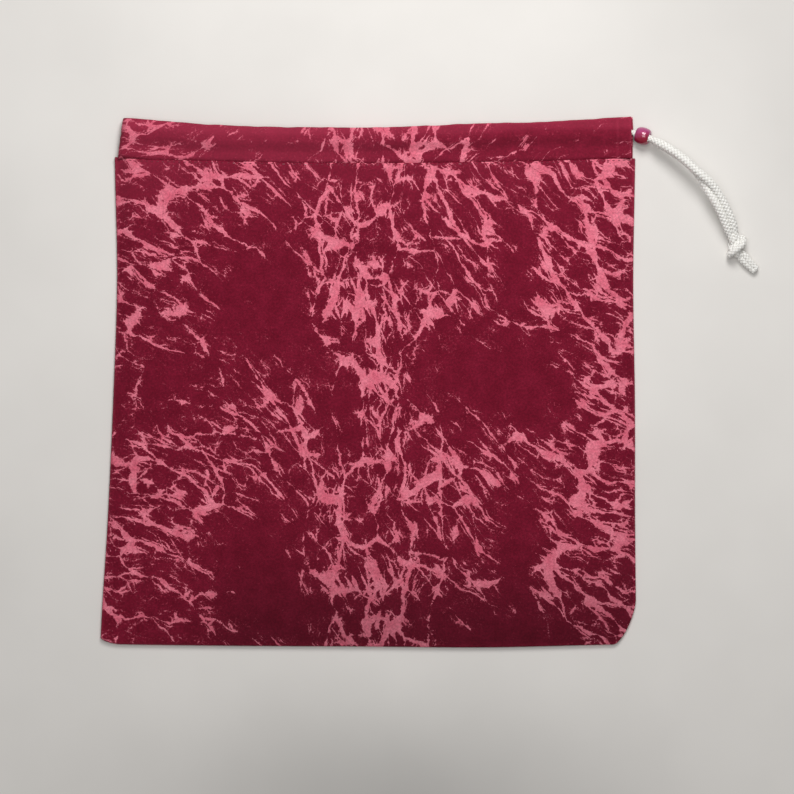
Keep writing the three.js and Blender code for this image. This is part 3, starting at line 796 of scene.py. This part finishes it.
# Patches of the print: x, y, half width, half height in mm and how much ink, negative where calm
BODY_PATCHES = (
    (-108, 80, 44, 42, 0.5), (-76, 92, 30, 18, 0.3), (-49, -18, 20, 24, 1.1),
    (-22, 72, 13, 38, 0.9), (11, 40, 38, 9, 1.4), (16, 84, 30, 30, 0.3),
    (7, 0, 9, 26, 1.6), (44, -47, 24, 22, 0.8), (58, 69, 18, 26, 0.7),
    (96, 54, 7, 30, 1.3), (126, 72, 22, 45, 0.7), (99, -34, 16, 7, 1.6),
    (126, -10, 16, 20, 1.0), (-62, 50, 24, 26, -2.1), (64, 3, 26, 18, -2.0),
    (-105, -2, 40, 15, -1.1), (-14, -18, 9, 17, -1.6), (90, 0, 14, 20, -1.8),
    (-43, 26, 14, 14, -1.2), (80, -84, 11, 28, -1.8),
)
CASING_PATCHES = (
    (-116, 131, 17, 14, 0.3), (-92, 131, 12, 14, 0.2), (-14, 131, 17, 18, 0.8),
    (32, 131, 13, 18, 0.7), (-58, 131, 24, 16, -1.0), (72, 131, 16, 16, -0.3),
    (118, 131, 24, 16, -1.6),
)


def wrapped(distance, period):
    return (distance + period / 2) % period - period / 2


def print_layout(x, y, patches, lean=1):
    """Ink, drift and uprightness at a place on the cloth. Ink is a sum of bell-shaped patches.
    Drift is how far the veins have sunk at x, the integral of their slope, which is
    0.75 + 0.45 cos of the way across; with lean -1 they rise instead. Uprightness is a broad
    bell round the middle."""
    ink = sum(amount * bell(wrapped(x - at_x, ACROSS), wide) * bell(wrapped(y - at_y, REPEAT), high)
              for at_x, at_y, wide, high, amount in patches)
    drift = 0.75 * x + 0.45 * ACROSS / (2 * pi) * np.sin(2 * pi * (x - 10) / ACROSS)
    upright = bell(wrapped(x - 2, ACROSS), 50, 4)
    return np.stack([np.minimum(ink, MOST_INK), lean * drift * MM, upright], -1)


# %% Print node groups
def stretched(nodes, x, y, along, across, seed):
    """x and y in cells of the given size, moved by the seed to another part of the pattern."""
    return nodes.join(nodes.scaled(x, 1 / along, seed), nodes.scaled(y, 1 / across, 0.37 * seed))


def speckle(nodes, x, y, size, seed, detail=2.0, roughness=0.5):
    """Noise of the given size between 0 and 1."""
    return nodes.noise(stretched(nodes, x, y, size, size, seed), detail, roughness)[0]


def bent(nodes, x, y, size, amount, seed, detail):
    """x and y moved by noise of the given size, by up to half of amount each way."""
    noise = nodes.split(nodes.noise(stretched(nodes, x, y, size, size, seed), detail, 0.58)[1])
    return [nodes.total(a, nodes.scaled(n, amount, -amount / 2)) for a, n in zip((x, y), noise)]


def vein_net(nodes, x, y, along, across, seed):
    """Minus the distance to the nearest vein, in mm, for cells of the given size in metres."""
    vector = stretched(nodes, x, y, along, across, seed)
    edge = nodes.add("ShaderNodeTexVoronoi", {"Vector": vector, "Scale": 1.0},
                     voronoi_dimensions="2D", feature="DISTANCE_TO_EDGE").outputs["Distance"]
    return nodes.times(edge, -min(along, across) * 1000)


# Stems, branches and twigs: length and width of the cells, width of the veins, how much ink and
# patchiness add to it, and how fast the veins thin out away from the coarser ones
SLANTING = ((0.044, 0.0165, 0.42, 0.66, 2.0, 0.0), (0.020, 0.0082, 0.22, 0.38, 1.3, 0.06),
            (0.0090, 0.0042, 0.08, 0.24, 0.8, 0.13))
STANDING = ((0.042, 0.0170, 0.50, 0.66, 2.1, 0.0), (0.022, 0.0086, 0.24, 0.38, 1.4, 0.06),
            (0.0095, 0.0044, 0.08, 0.24, 0.9, 0.14))
# What bends the veins, from wide bows to fine fringes: size and amount in metres, seed, detail
BENDS = ((0.045, 0.026, 3.0, 2.0), (0.0070, 0.0050, 11.0, 3.0), (0.0021, 0.0020, 17.0, 3.0))
GRAIN, PATCH, CLOUD = 0.0011, 0.010, 0.009      # metres: sizes of what makes the print uneven
CRIMSONS = srgb(117, 15, 40), srgb(133, 23, 50)
PINKS = srgb(235, 110, 134), srgb(254, 142, 163)
THIN_INK = srgb(160, 50, 72)


def vein_tree(nodes, x, y, ink, patch, seed, nets, upright):
    """Stems, branches and twigs together: positive inside a vein, minus the distance outside."""
    together = None
    for number, (length, width, base, ink_share, patch_share, hold) in enumerate(nets):
        along, across = (width, length) if upright else (length, width)
        net = nodes.total(vein_net(nodes, x, y, along, across, seed + 10 * number), base,
                          nodes.times(ink, ink_share), nodes.times(patch, patch_share))
        if number:
            net = nodes.total(net, nodes.times(nodes.math("MINIMUM", together, 0.0), hold))
            net = nodes.math("MAXIMUM", together, net)
        together = net
    return together


print_group, nodes, entry, leave = new_group(
    "Marbled print", [("Place", "Vector"), ("Layout", "Vector")],
    [("Color", "Color"), ("Vein", "Float")])
x, y, _ = nodes.split(entry["Place"])
ink, drift, upright = nodes.split(entry["Layout"])
bent_x, bent_y = x, y
for bend in BENDS:
    bent_x, bent_y = bent(nodes, bent_x, bent_y, *bend)
patch = nodes.scaled(speckle(nodes, x, y, PATCH, 85.0), 2.0, -1.0)
sunk_y = nodes.total(bent_y, drift)
slanting = vein_tree(nodes, bent_x, sunk_y, ink, patch, 20.0, SLANTING, False)
standing = vein_tree(nodes, bent_x, bent_y, ink, patch, 60.0, STANDING, True)
slanting = nodes.total(slanting, nodes.times(upright, -0.5))
standing = nodes.total(standing, nodes.scaled(upright, 1.6, -1.6))
veins = nodes.math("MAXIMUM", slanting, standing)
# Fine grain makes the veins' edges ragged
grain = speckle(nodes, x, y, GRAIN, 95.0, 3.0, 0.7)
pink = nodes.ramp(nodes.total(veins, nodes.scaled(grain, 1.4, -0.70)), -0.04, 0.14)
# Specks of thin ink gather near the veins and keep out of the calm places
speck = nodes.total(nodes.scaled(speckle(nodes, x, y, GRAIN, 195.0, 2.0, 0.7), 5.0, -2.45),
                    nodes.times(nodes.math("MAXIMUM", veins, -3.0), 0.45), patch,
                    nodes.times(nodes.math("MINIMUM", ink, 0.0), 0.3))
cloudy = speckle(nodes, x, y, CLOUD, 150.0, 4.0, 0.6)
ground = nodes.blend(nodes.ramp(cloudy, 0.3, 0.75), *CRIMSONS)
ground = nodes.blend(nodes.ramp(speck, 0.0, 0.6), ground, THIN_INK)
pinks = nodes.blend(nodes.ramp(cloudy, 0.3, 0.7), *PINKS)
nodes.fill(leave, Color=nodes.blend(pink, ground, pinks), Vein=pink)

# %% [markdown]
# ## The twill weave
#
# Twill shows fine slanting ribs, here rising to the right. A rib is a sine wave across its own
# direction, and a second, slower wave along it breaks it into the single floats of yarn.

# %% Twill node group
TWILL_PITCH = 0.0006        # metres from rib to rib
weave_group, nodes, entry, leave = new_group(
    "Twill weave", [("Place", "Vector"), ("Pitch", "Float")],
    [("Height", "Float"), ("Shade", "Float")])
x, y, _ = nodes.split(entry["Place"])
turn = nodes.math("DIVIDE", 2 * pi, entry["Pitch"])
slub = nodes.noise(entry["Place"], 2.0, 0.5, 160.0)[0]
ribs = nodes.times(nodes.total(nodes.times(x, 0.78), nodes.times(y, -0.62)), turn)
ribs = nodes.math("SINE", nodes.scaled(slub, 1.6, ribs))
floats = nodes.math("SINE", nodes.times(nodes.total(nodes.times(x, 0.25), y), turn))
thread = nodes.noise(nodes.join(nodes.times(x, 900.0), nodes.times(y, 2600.0)), 1.0, 0.5)[0]
height = nodes.total(nodes.times(ribs, 0.35), nodes.times(floats, 0.15), thread)
# Yarns spun thicker and thinner give a grain of a millimetre or so
uneven = nodes.scaled(nodes.noise(entry["Place"], 2.0, 0.6, 800.0)[0], 4.0, -2.0)
# Shade is painted shade in the weave's low places, mixed with the yarns' own uneven grain
nodes.fill(leave, Height=height, Shade=nodes.ramp(nodes.total(height, uneven), -0.2, 1.2))

# %% Cloth material
# Colours of painted shade, between the ribs and in shaded places, and the pale pink of painted
# light
PAINTED_RIB_SHADE, SHADED = (0.02, 0.0, 0.004, 1), (0.03, 0.002, 0.006, 1)
PAINTED_LIGHT_PINK = srgb(192, 66, 94)

cloth_material, nodes, shader = new_material(
    "marbled_twill", Sheen_Weight=0.04, Sheen_Roughness=0.5, Specular_IOR_Level=0.13)
place = nodes.attribute("cloth", "Vector")
crease = nodes.attribute("crease")
printed = nodes.group(print_group, Place=place, Layout=nodes.attribute("layout", "Vector"))
weave = nodes.group(weave_group, Place=place, Pitch=TWILL_PITCH)
# Painted shade between the ribs: the weave's low places take a darker colour
groove = nodes.blend(0.32, printed["Color"], PAINTED_RIB_SHADE)
colour = nodes.blend(nodes.ramp(weave["Shade"], 0.0, 1.0), groove, printed["Color"])
# Painted shade tells more on the ground than on the opaque pink print
dark = nodes.times(nodes.ramp(crease, 0.0, -1.0), nodes.scaled(printed["Vein"], -0.30, 0.85))
colour = nodes.blend(dark, colour, SHADED)
# Painted light: where the values are positive the cloth is lightened towards pale pink
light = nodes.times(nodes.ramp(crease, 0.0, 1.0), 0.35)
nodes.fill(shader, Base_Color=nodes.blend(light, colour, PAINTED_LIGHT_PINK),
           Roughness=nodes.ramp(weave["Height"], -3.4, 1.0),
           Normal=nodes.bump(0.45, 0.0002, weave["Height"]))

# %% [markdown]
# ## The two body panels
#
# The empty bag lies like a thin pillow: its panels meet along pressed seams at the sides and the
# bottom, and the front one bulges a few millimetres in the middle. Close to a seam the cloth is
# double, because the allowance is turned in, and its edge rolls over in a tight quarter round.
# Along the edges the stitching draws the cloth into small puckers.

# %% Panel grids
SEAM_ALLOWANCE, SEAM_THICKNESS, CLOTH = 8.0, 1.1, 0.5
CROWN, CROWN_RUN = 6.2, 45.0    # how high the pillow is, and how far from a seam it rises
GRIP = 0.7                      # how far below the casing's middle it grips the front panel
ROLL, ROLL_REST = 1.6, 0.04     # width of the rolled edge, and share of the thickness at its rim
PANEL_PITCH = 1.7
FINE = np.array([0.0, 0.12, 0.3, 0.6, 1.0, 1.6, 2.4, 3.4])


def stations(length):
    """Places across a length, close together at both ends and evenly spaced between, 0 to 1."""
    count = int((length - 2 * FINE[-1]) / PANEL_PITCH)
    middle = np.linspace(FINE[-1], length - FINE[-1], count)
    return np.r_[FINE[:-1], middle, length - FINE[-2::-1]] / length


def body_grid():
    """Points of the body from the bottom edge (first row) to the casing seam (last), and how far
    each is from the side, the bottom and the seam. The sides depend on y and the ends on x, so
    they are fitted by turns."""
    u, v = np.meshgrid(stations(285.0), stations(262.0))
    y = mix(BOTTOM_Y, SEAM_Y, v)
    for _ in range(2):
        x = mix(left_x(y), right_x(y), u)
        y = mix(bottom_y(x), seam_y(x), v)
    from_side = np.minimum(x - left_x(y), right_x(y) - x)
    return x, y, np.maximum(from_side, 0), np.maximum(y - bottom_y(x), 0), seam_y(x) - y


def rise(distance):
    """The pillow's rounded rise from a seam: 1 - (1 - t)^2.2, with t the share of the run."""
    return 1 - (1 - np.clip(distance / CROWN_RUN, 0, 1)) ** 2.2


def front_high(x, y, from_side, from_bottom, from_seam):
    """Upper face of the front panel: a pillow, which turns into the height of the front casing
    towards the mouth, uneven all over and puckered along its seams."""
    edge = np.minimum(from_side, from_bottom)
    edge_high = 2 * SEAM_THICKNESS + 0.3
    pillow = edge_high + CROWN * rise(from_side) * rise(from_bottom)
    mouth = mix(edge_high, front_run_z(x) - GRIP, smooth(from_side, 0, 11))
    high = mix(pillow, mouth, smooth(y, SEAM_Y - 80, SEAM_Y - 20))
    high += 0.32 * smooth(edge, 2, 30) * smooth(from_seam, 1, 25) * waves(x, y, 4, 9, 26, 80)
    high += 0.10 * smooth(edge, 1, 8) * waves(x, y, 5, 12, 9, 22)
    high += 0.16 * np.exp(-edge / 5) * smooth(edge, 0.3, 2) * waves(x, y, 6, 10, 4.5, 10)
    high += 0.18 * np.exp(-from_seam / 4) * waves(x, 0 * y, 7, 8, 5, 14)
    # Near the casing the cloth swells a little and then dives into the seam's groove
    return high + 0.25 * bell(from_seam - 2.2, 1.8) - 0.3 * bell(from_seam, 0.6)


def painted_edge_shading(x, from_side, from_bottom, from_seam):
    """Painted light and shade: painted highlights along the rolled edges, painted light
    towards the mouth, painted shade in the groove under the casing and, but for the left,
    towards the bottom."""
    lit_towards_mouth = (0.36 + 0.26 * (1 - smooth(x, -140, -60))) * np.exp(-from_seam / 34)
    deep = 0.50 * bell(from_bottom, 64) * smooth(x, -120, -60)
    rim = 0.75 * bell(np.minimum(from_side, from_bottom), 1.1)
    return lit_towards_mouth - deep + rim - 0.3 * bell(from_seam, 0.5)


def cloth_piece(name, face, back, crease, cut, shift=(0.0, 0.0), patches=BODY_PATCHES, lean=1):
    """A cloth shell with its print. cut is where each point of a grid lies on the printed cloth,
    and shift moves the veins there, but not the layout."""
    points, faces = shell(face, back)
    x, y = (np.tile(a.ravel(), 2) for a in cut)
    piece = make_piece(name, points, faces.tolist(), cloth_material, "bag",
                       cloth=np.stack([x + shift[0], y + shift[1], 0 * x], -1) * MM,
                       layout=print_layout(x, y, patches, lean), crease=np.tile(crease.ravel(), 2))
    return piece


# %% Front and back panel
x, y, from_side, from_bottom, from_seam = body_grid()
edge = np.minimum(from_side, from_bottom)
thick = mix(SEAM_THICKNESS, CLOTH, smooth(edge, SEAM_ALLOWANCE - 0.4, SEAM_ALLOWANCE + 0.4))
rolled = mix(ROLL_REST, 1.0, rounded(edge, ROLL))
# Painted light and shade of the body's cloth
body_painted_shading = painted_edge_shading(x, from_side, from_bottom, from_seam)

low = front_high(x, y, from_side, from_bottom, from_seam) - thick
front_face = np.stack([x, y, low + thick * rolled], -1)
front_cloth = cloth_piece("front_cloth", front_face, np.stack([x, y, low], -1), body_painted_shading, (x, y))
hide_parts("front_panel")

# The back lies flat on the table, its edge rolled up to meet the front's. Its cloth is seen from
# the other side and was cut elsewhere, so its print runs the other way and is moved
high = thick + 0.1 * smooth(edge, 8, 20) * (1 + waves(x, y, 8, 8, 25, 70)) / 2
back_cloth = cloth_piece("back_cloth", np.stack([x, y, high], -1),
                         np.stack([x, y, thick * (1 - rolled)], -1), body_painted_shading, (20 - x, y + 60))
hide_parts("back_panel")

# %% [markdown]
# ## The casing
#
# The casing is one strip of cloth, folded lengthwise over the cord, with both long edges sewn to
# the top of the body. It runs along the front, round the left side as a fold, and along the back;
# at the right both ends are hemmed and left open for the cord. Along the strip the parameter is
# the station, and across it the chain from the front seam up over the fold and down the inside.
# The pressed cloth lies flat except over the cord, which shows as a soft ridge.

# %% Casing strip
CASING_WALL = 0.45
OVER_CORD, BESIDE_CORD = 1.85, 0.6      # half the casing's thickness on and off the cord
LYING_ON = 0.7                  # how far out the inner layer lies where it rests on the outer
HEM, HEM_WALL = 7.4, 0.3        # width of the hems at the ends, and what they add to the wall
CASING_CUT = (-8.0, 26.0)       # the strip was cut elsewhere, so its print doesn't meet the body's
LOWEST = 0.02                   # the table holds up what would sink lower
ENDS = np.array([0, 0.15, 0.4, 0.8, 1.4, 2.4, 3.8, 5.4, 6.4, 6.9, HEM, 8.2])
UP_THE_CASING = np.r_[0, 0.006, 0.015, 0.03, 0.05, 0.08, 0.12, np.linspace(0.17, 0.93, 34),
                      0.955, 0.97, 0.982, 0.99, 0.996]


def casing_stations():
    """Along the strip: x, height of its middle, the outward normal's angle (90 degrees on the
    front, 0 at the left fold, -90 on the back), the way gone and the distance to an end."""
    front = np.r_[FRONT_END - ENDS, np.linspace(FRONT_END - 9.5, TURN_X, 160)]
    back = np.r_[np.linspace(TURN_X, BACK_END - 9.5, 160), BACK_END - ENDS[::-1]]
    x, z, angle = round_the_fold(front, 18, back)
    turn = np.r_[np.full(len(front), pi / 2), angle, np.full(len(back), -pi / 2)]
    turned = TURN_RADIUS * (pi / 2 - angle)
    gone = np.r_[front, TURN_X - turned, 2 * TURN_X - TURN_RADIUS * pi - back]
    from_end = np.r_[FRONT_END - front, np.full(len(angle), 99.0), BACK_END - back]
    return [a[None, :] for a in (x, z, turn, gone, from_end)]


def casing_shell():
    """The strip's two grids, its painted light and shade and its place on the cloth."""
    x, z, turn, gone, from_end = casing_stations()
    v = np.r_[UP_THE_CASING, 1.0, UP_THE_CASING[::-1]][:, None]
    side = np.repeat([1.0, 0.0, -1.0], [len(UP_THE_CASING), 1, len(UP_THE_CASING)])[:, None]
    upness = (np.sin(turn) + 1) / 2
    seam, fold = seam_y(x), fold_y(x)
    y = mix(seam, fold, v)
    ridge = 1 - smooth(np.abs(y - cord_y(x)), 1.2, 8.2)
    # Round the left side and at the back the outer layer is smooth, and the inner one lies on it;
    # along the front both close on each other above and below the cord
    front = np.where(turn > 1.57, smooth(x, TURN_X, TURN_X + 14), 0.0)
    middle, away = ridge - 1, mix(BESIDE_CORD, OVER_CORD, ridge)
    outer = mix(OVER_CORD, middle + away, front)
    inner = mix(mix(LYING_ON, -OVER_CORD, ridge), middle - away, front)
    # Both layers close on the body's edge at the seam and on each other at the fold
    pinch = smooth(v, 0.0, 0.085) ** 0.5
    at_seam = smooth(upness, 0.6, 1.0)
    outer = mix(mix(1.6, -1.1, at_seam), outer, pinch)
    inner = mix(mix(1.35, -1.35, at_seam), inner, pinch)
    close = rounded(1 - v, 0.06)
    half = (outer - inner) / 2 * close
    core = mix((outer + inner) / 2, outer - 0.2, (1 - front) * (1 - close))
    # The ends are hemmed, rolled at the rim and spread a little by the cord
    hem = HEM_WALL * smooth(HEM - from_end, 0, 0.9)
    flare = 0.5 * ridge * np.exp(-from_end / 6.0)
    lively = 0.10 * waves(gone, 2.2 * y, 11, 12, 7, 26)
    lively += 0.08 * np.exp(-(y - seam) / 4) * waves(gone, 0 * y, 12, 8, 5, 11)
    n_out = core + side * (half + (hem * 0.5 + flare) * close) + (side > 0) * lively * pinch
    wall = np.minimum(CASING_WALL + hem, np.maximum(half * 0.9, 0.12))
    n_in = n_out - side * wall * mix(0.35, 1.0, rounded(from_end, 0.8))
    y_out = y + 0.12 * waves(gone, 0 * gone, 13, 7, 6, 30) * smooth(v, 0.5, 1.0)
    y_in = y_out - CASING_WALL * (side == 0)
    # The strip lies pressed to the table away from the cord
    pressed = 1 - 0.2 * (1 - ridge) * (1 - front) * upness

    def grid(n, height):
        up = np.maximum((z + np.sin(turn) * n) * pressed, LOWEST)
        return np.stack([x - fold_lean(x, v) - np.cos(turn) * n, height, up], -1)

    # Painted light on the left and above the cord, painted highlights along fold, rim and hem,
    # and painted shade in the groove at the seam
    crease = (0.60 - 0.30 * smooth(x, -60, 60) + 0.33 * smooth(y - cord_y(x), -1, 4)
              + 0.6 * bell(from_end, 0.7) + 0.45 * bell((1 - v) * CASING_HEIGHT, 0.8)
              - 0.3 * bell(y - seam, 0.5) + 0.25 * bell(from_end - 7.2, 0.5))
    across = np.where(side >= 0, y, 2 * fold - y)
    return grid(n_in, y_in), grid(n_out, y_out), crease, (gone + 0 * across, across)


casing = casing_shell()
casing_cloth = cloth_piece("casing_cloth", *casing, CASING_CUT, CASING_PATCHES, lean=-1)
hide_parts("casing_band")
print(f"casing strip {np.ptp(casing[-1][0]):.0f} mm long")

# %% [markdown]
# ## Stitches
#
# The casing is sewn on by machine, close under the seam. Each stitch is a short spindle that lies
# in the cloth: its radius is w/2 * sqrt(1 - t^2) for t from -1 to 1 along it. The thread matches
# the crimson, but towards the middle the paler thread of the bobbin has been drawn up in places.

# %% Stitch rows
STITCH_PITCH, STITCH_LENGTH, STITCH_WIDTH = 2.9, 1.5, 0.42
# Painted shade in the thread's grooves and painted light on its plies
CRIMSON_THREAD = srgb(108, 20, 42), srgb(138, 34, 60)
PALE_THREAD = srgb(214, 158, 170), srgb(240, 206, 212)


def stitch_row(line):
    """Points and faces of spindles lying on a line, one every pitch, and the x of each."""
    centre = even(line, int(way_gone(line)[-1] / STITCH_PITCH))
    way = unit(np.gradient(centre, axis=0))
    aside = unit(np.cross(UP, way))
    lift = np.cross(way, aside)
    middle, way, aside, lift = (a[:, None, None] for a in (centre, way, aside, lift))
    t = np.sin(np.radians(np.linspace(-80, 80, 6)))[:, None, None]
    angle = (np.arange(6) * pi / 3)[:, None]
    ring = aside * np.cos(angle) + 0.8 * lift * np.sin(angle)
    grid = middle + t * way * STITCH_LENGTH / 2 + np.sqrt(1 - t**2) * ring * STITCH_WIDTH / 2
    ends = [[5, 4, 3, 2], [5, 2, 1, 0], [30, 31, 32, 33], [30, 33, 34, 35]]
    one = np.concatenate([grid_quads(6, 6, ring=True), ends])
    faces = (one + 36 * np.arange(len(centre))[:, None, None]).reshape(-1, 4)
    return grid.reshape(-1, 3), faces, np.repeat(centre[:, 0], 36)


points, faces, along_x = stitch_row(front_face[-5, 3:-3] + UP * 0.03)
drawn_up = smooth(waves(along_x, 0 * along_x, 21, 9, 3.5, 12), 0.6, 1.3) * bell(along_x + 8, 62, 4)

thread_material, nodes, shader = new_material("sewing_thread",
                                              Sheen_Weight=0.2, Specular_IOR_Level=0.3)
pale = nodes.attribute("drawn_up")
ply = nodes.noise(nodes.place(), 2.0, 0.6, 2600.0)[0]
deep, lit = (nodes.blend(pale, a, b) for a, b in zip(CRIMSON_THREAD, PALE_THREAD))
nodes.fill(shader, Base_Color=nodes.blend(nodes.ramp(ply, 0.3, 0.8), deep, lit),
           Roughness=nodes.ramp(ply, -1.2, 1.3), Normal=nodes.bump(0.3, 0.0001, ply))
stitches = make_piece("seam_stitches", points, faces.tolist(), thread_material, "bag",
                      drawn_up=drawn_up)

# %% [markdown]
# ## The table and the light
#
# The bag lies on a plain pale table. Even light from all round, a broad lamp overhead and a soft
# key light from beyond the mouth together light a level surface at about full strength, so that
# colours come out as they are written. The key light gives the cord its soft shadow.

# %% Table
TABLE_HALF, TABLE_TOP = 1.6, -0.0001    # metres
TABLE_WHITE, TABLE_BRIGHT = srgb(226, 223, 219), srgb(233, 230, 226)
WARM_WHITE, BLACK = (1.0, 0.985, 0.965, 1), (0.0, 0.0, 0.0, 1)
# Painted shade on the table, below the middle and at the upper right: x and y of the middle,
# height as a share of width, reach and amount
PAINTED_SHADE_PATCHES = ((0.016, -0.235, 0.45, 0.10, 0.34), (0.26, 0.24, 1.0, 0.24, 0.15))
GLOW, GLOW_FROM, GLOW_TO = 0.55, 0.28, 0.78

table_mesh = bpy.data.meshes.new("table")
corners = [(x * TABLE_HALF, y * TABLE_HALF, TABLE_TOP)
           for x, y in ((-1, -1), (1, -1), (1, 1), (-1, 1))]
table_mesh.from_pydata(corners, [], [(0, 1, 2, 3)])
table = bpy.data.objects.new("table", table_mesh)
scene.collection.objects.link(table)

table_material, nodes, shader = new_material("table_white", Roughness=0.6, Specular_IOR_Level=0.2)
place = nodes.place()
mottle = nodes.ramp(nodes.noise(place, 3.0, 0.5, 12.0)[0], 0.2, 0.8)
x, y, _ = nodes.split(place)
painted_shade = 0.0
# Painted shade: in each patch the table is darkened towards black
for at_x, at_y, flat, reach, amount in PAINTED_SHADE_PATCHES:
    aside = nodes.times(nodes.total(x, -at_x), flat)
    away = nodes.length(nodes.join(aside, nodes.total(y, -at_y)))
    painted_shade = nodes.total(painted_shade, nodes.times(nodes.ramp(away, reach, 0.0), amount))
white = nodes.blend(mottle, TABLE_WHITE, TABLE_BRIGHT)
# Past the lamps' reach the table glows, to the camera alone, so that it stays pale
far = nodes.ramp(nodes.length(place), GLOW_FROM, GLOW_TO)
watched = nodes.add("ShaderNodeLightPath").outputs["Is Camera Ray"]
nodes.fill(shader, Base_Color=nodes.blend(painted_shade, white, BLACK), Emission_Color=WARM_WHITE,
           Emission_Strength=nodes.times(nodes.times(far, watched), GLOW))
table_mesh.materials.append(table_material)

# %% Lamps and world
AROUND, TO_MIRRORS = 0.18, 0.32         # the world's strength as light, and in reflections

world = bpy.data.worlds.new("world")
world.use_nodes = True
scene.world = world
nodes = Nodes(world.node_tree)
path = nodes.add("ShaderNodeLightPath").outputs
mirrored = nodes.math("MAXIMUM", path["Is Glossy Ray"], path["Is Transmission Ray"])
watched = path["Is Camera Ray"]
strength = nodes.total(AROUND, nodes.times(watched, 1 - AROUND),
                       nodes.times(mirrored, TO_MIRRORS - AROUND))
nodes.fill(world.node_tree.nodes["Background"].inputs, Strength=strength,
           Color=nodes.blend(watched, WARM_WHITE, TABLE_WHITE))


def lamp(name, place, size, share, colour=(1, 1, 1)):
    """A square area lamp, aimed at the bag's middle, that lights a level white surface there to
    the given share of white: power = share * pi^2 * distance^2 / cosine of its light's slant."""
    data = bpy.data.lights.new(name, "AREA")
    data.shape = "SQUARE"
    data.size = size
    data.color = colour
    way = Vector(place)
    data.energy = share * pi**2 * way.length_squared / (way.z / way.length)
    light = bpy.data.objects.new(name, data)
    light.location = place
    light.rotation_euler = way.to_track_quat("Z", "Y").to_euler()
    light.visible_camera = False
    scene.collection.objects.link(light)


lamp("key", (0.12, 0.50, 0.57), size=0.30, share=0.44, colour=(1.0, 0.99, 0.98))
lamp("overhead", (0.0, 0.08, 0.95), size=0.50, share=0.335)
